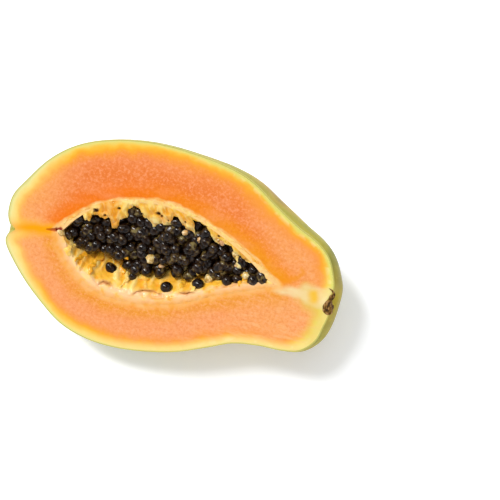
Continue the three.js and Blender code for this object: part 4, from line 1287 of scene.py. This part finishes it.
stump_material, tree, place, _ = new_material("dry_papaya_stalk")
drawn = add(tree, "Mapping", {"Vector": place, "Scale": (1.0, 0.22, 1.0)})
fibre = add(tree, "TexNoise", (drawn, every(0.9), 5.0))
toned = add(tree, "ValToRGB", (fibre,), [
    (0.36, "#2e1a04"), (0.46, "#5a3c08"), (0.56, "#86602a"), (0.7, "#b88e62")])
finish_with(tree, toned, 0.8, fibre, 0.3, {"IOR": 1.45, "Specular IOR Level": 0.3}, strength=0.9)
dress(stump, stump_material, "stump", "stalk_stump")
print("materials:", [material.name for material in bpy.data.materials])

# %% [markdown]
# ## Camera
#
# The camera looks down on the cut face from a little towards the stem end and the upper rim. It is a
# long lens, so the outline is hardly stretched. Its place comes from the direction, the distance, the
# scale at the face, and where the fruit's origin falls in the frame.

# %% Camera
VIEW_FROM = Vector((0.14, 0.21, 1.0))
ROLL_DEG = -12
DISTANCE = 900
MM_PER_PIXEL = 0.53
FRAME_PIXELS = 500
ORIGIN_AT = (175, 246)
SENSOR_MM = 36

towards = VIEW_FROM.normalized()
level = Vector((math.sin(math.radians(ROLL_DEG)), math.cos(math.radians(ROLL_DEG)), 0))
for _ in range(20):
    up = (level - level.dot(towards) * towards).normalized()
    right = up.cross(towards)
    aside = (ORIGIN_AT[0] - FRAME_PIXELS / 2) * MM_PER_PIXEL
    above = (FRAME_PIXELS / 2 - ORIGIN_AT[1]) * MM_PER_PIXEL
    eye = -aside * right - above * up + DISTANCE * towards
    towards = (towards + VIEW_FROM.normalized() - eye.normalized()).normalized()

stand = Matrix((right, up, towards)).transposed().to_4x4()
stand.translation = eye
stand = LAID_DOWN @ stand
stand.translation *= MM
camera_data = bpy.data.cameras.new("camera")
camera_data.sensor_width = SENSOR_MM
camera_data.lens = DISTANCE / MM_PER_PIXEL * SENSOR_MM / FRAME_PIXELS
camera_data.clip_start, camera_data.clip_end = 0.05, 20
camera = bpy.data.objects.new("camera", camera_data)
camera.matrix_world = stand
bpy.context.scene.collection.objects.link(camera)
bpy.context.scene.camera = camera
print("camera at, m:", [round(value, 3) for value in stand.translation], " lens, mm:",
      round(camera_data.lens, 1))

# %% [markdown]
# ## Floor and light
#
# A table of white acrylic, faintly lit from below, gives the pale soft shadow of a product shot. The
# room is bright low down, most of all on the window's side at the upper left of the view, and dark
# overhead, so wet black seeds stay black on top. Soft suns shape the forms and put a bright spot on
# each seed: two from the window's side, a weak wide one from above, and the weakest and widest one from
# the lower right, which opens the shadows.

# %% Floor and light
FLOOR_HALF = 6.0
FLOOR_DROP = 0.0002
TABLE_GLOW = 0.2
floor_mesh = bpy.data.meshes.new("floor")
floor_mesh.from_pydata(
    [(x * FLOOR_HALF, y * FLOOR_HALF, -FLOOR_DROP) for x, y in ((-1, -1), (1, -1), (1, 1), (-1, 1))],
    [], [(0, 1, 2, 3)])
floor = bpy.data.objects.new("floor", floor_mesh)
bpy.context.scene.collection.objects.link(floor)
floor_material, tree, _, _ = new_material("lit_white_acrylic_table")
acrylic = add(tree, "BsdfPrincipled", {
    "Base Color": "#f9fbff", "Roughness": 0.9, "Specular IOR Level": 0.1,
    "Emission Color": "#ffffff", "Emission Strength": TABLE_GLOW})
add(tree, "OutputMaterial", (acrylic,))
floor_mesh.materials.append(floor_material)

SKY_STRENGTH = 0.72
SKY_OVERHEAD = 0.12  # the share of that brightness straight up
DARKENS_FROM, DARKENS_TO = 0.4, 0.9  # heights in the room, where 1 is straight up
BRIGHT_SIDE, DIM_SIDE = 1.4, 0.8  # shares of it on the window's side of the room and opposite
window_side = stand.to_3x3() @ Vector((-0.7, 0.7, 0))
window_side.z = 0
world = bpy.data.worlds.new("sky")
bpy.context.scene.world = world
world.use_nodes = True
tree = world.node_tree
tree.nodes.clear()
direction = add(tree, "TexCoord", out="Generated")
way_up = add(tree, "SeparateXYZ", (direction,), out="Z")
by_height = add(
    tree, "MapRange", (way_up, DARKENS_FROM, DARKENS_TO, SKY_STRENGTH, SKY_STRENGTH * SKY_OVERHEAD),
    interpolation_type="SMOOTHSTEP")
facing = add(tree, "VectorMath", (direction, window_side.normalized()), operation="DOT_PRODUCT")
by_side = add(tree, "MapRange", (facing, -0.5, 0.9, DIM_SIDE, BRIGHT_SIDE))
brightness = add(tree, "Math", (by_height, by_side), operation="MULTIPLY")
add(tree, "OutputWorld", (add(tree, "Background", {"Color": "#ffffff", "Strength": brightness}),))

SUNS = {  # in the camera's axes, right, up and towards it: where from, energy and width in degrees
    "key": ((-0.56, 0.60, 0.80), 1.5, 20),
    "glint": ((-0.38, 0.46, 1.00), 1.1, 10),
    "top": ((-0.06, 0.26, 1.00), 0.45, 30),
    "rear": ((0.55, -0.35, 0.90), 0.35, 40),
}
for name, (where_from, energy, width_deg) in SUNS.items():
    sun_data = bpy.data.lights.new(name, "SUN")
    sun_data.energy = energy
    sun_data.angle = math.radians(width_deg)
    sun = bpy.data.objects.new(name, sun_data)
    sun.rotation_euler = (stand.to_3x3() @ Vector(where_from)).to_track_quat("Z", "Y").to_euler()
    bpy.context.scene.collection.objects.link(sun)
bpy.context.scene.view_settings.view_transform = "Standard"
print("suns:", {name: energy for name, (_, energy, _) in SUNS.items()})
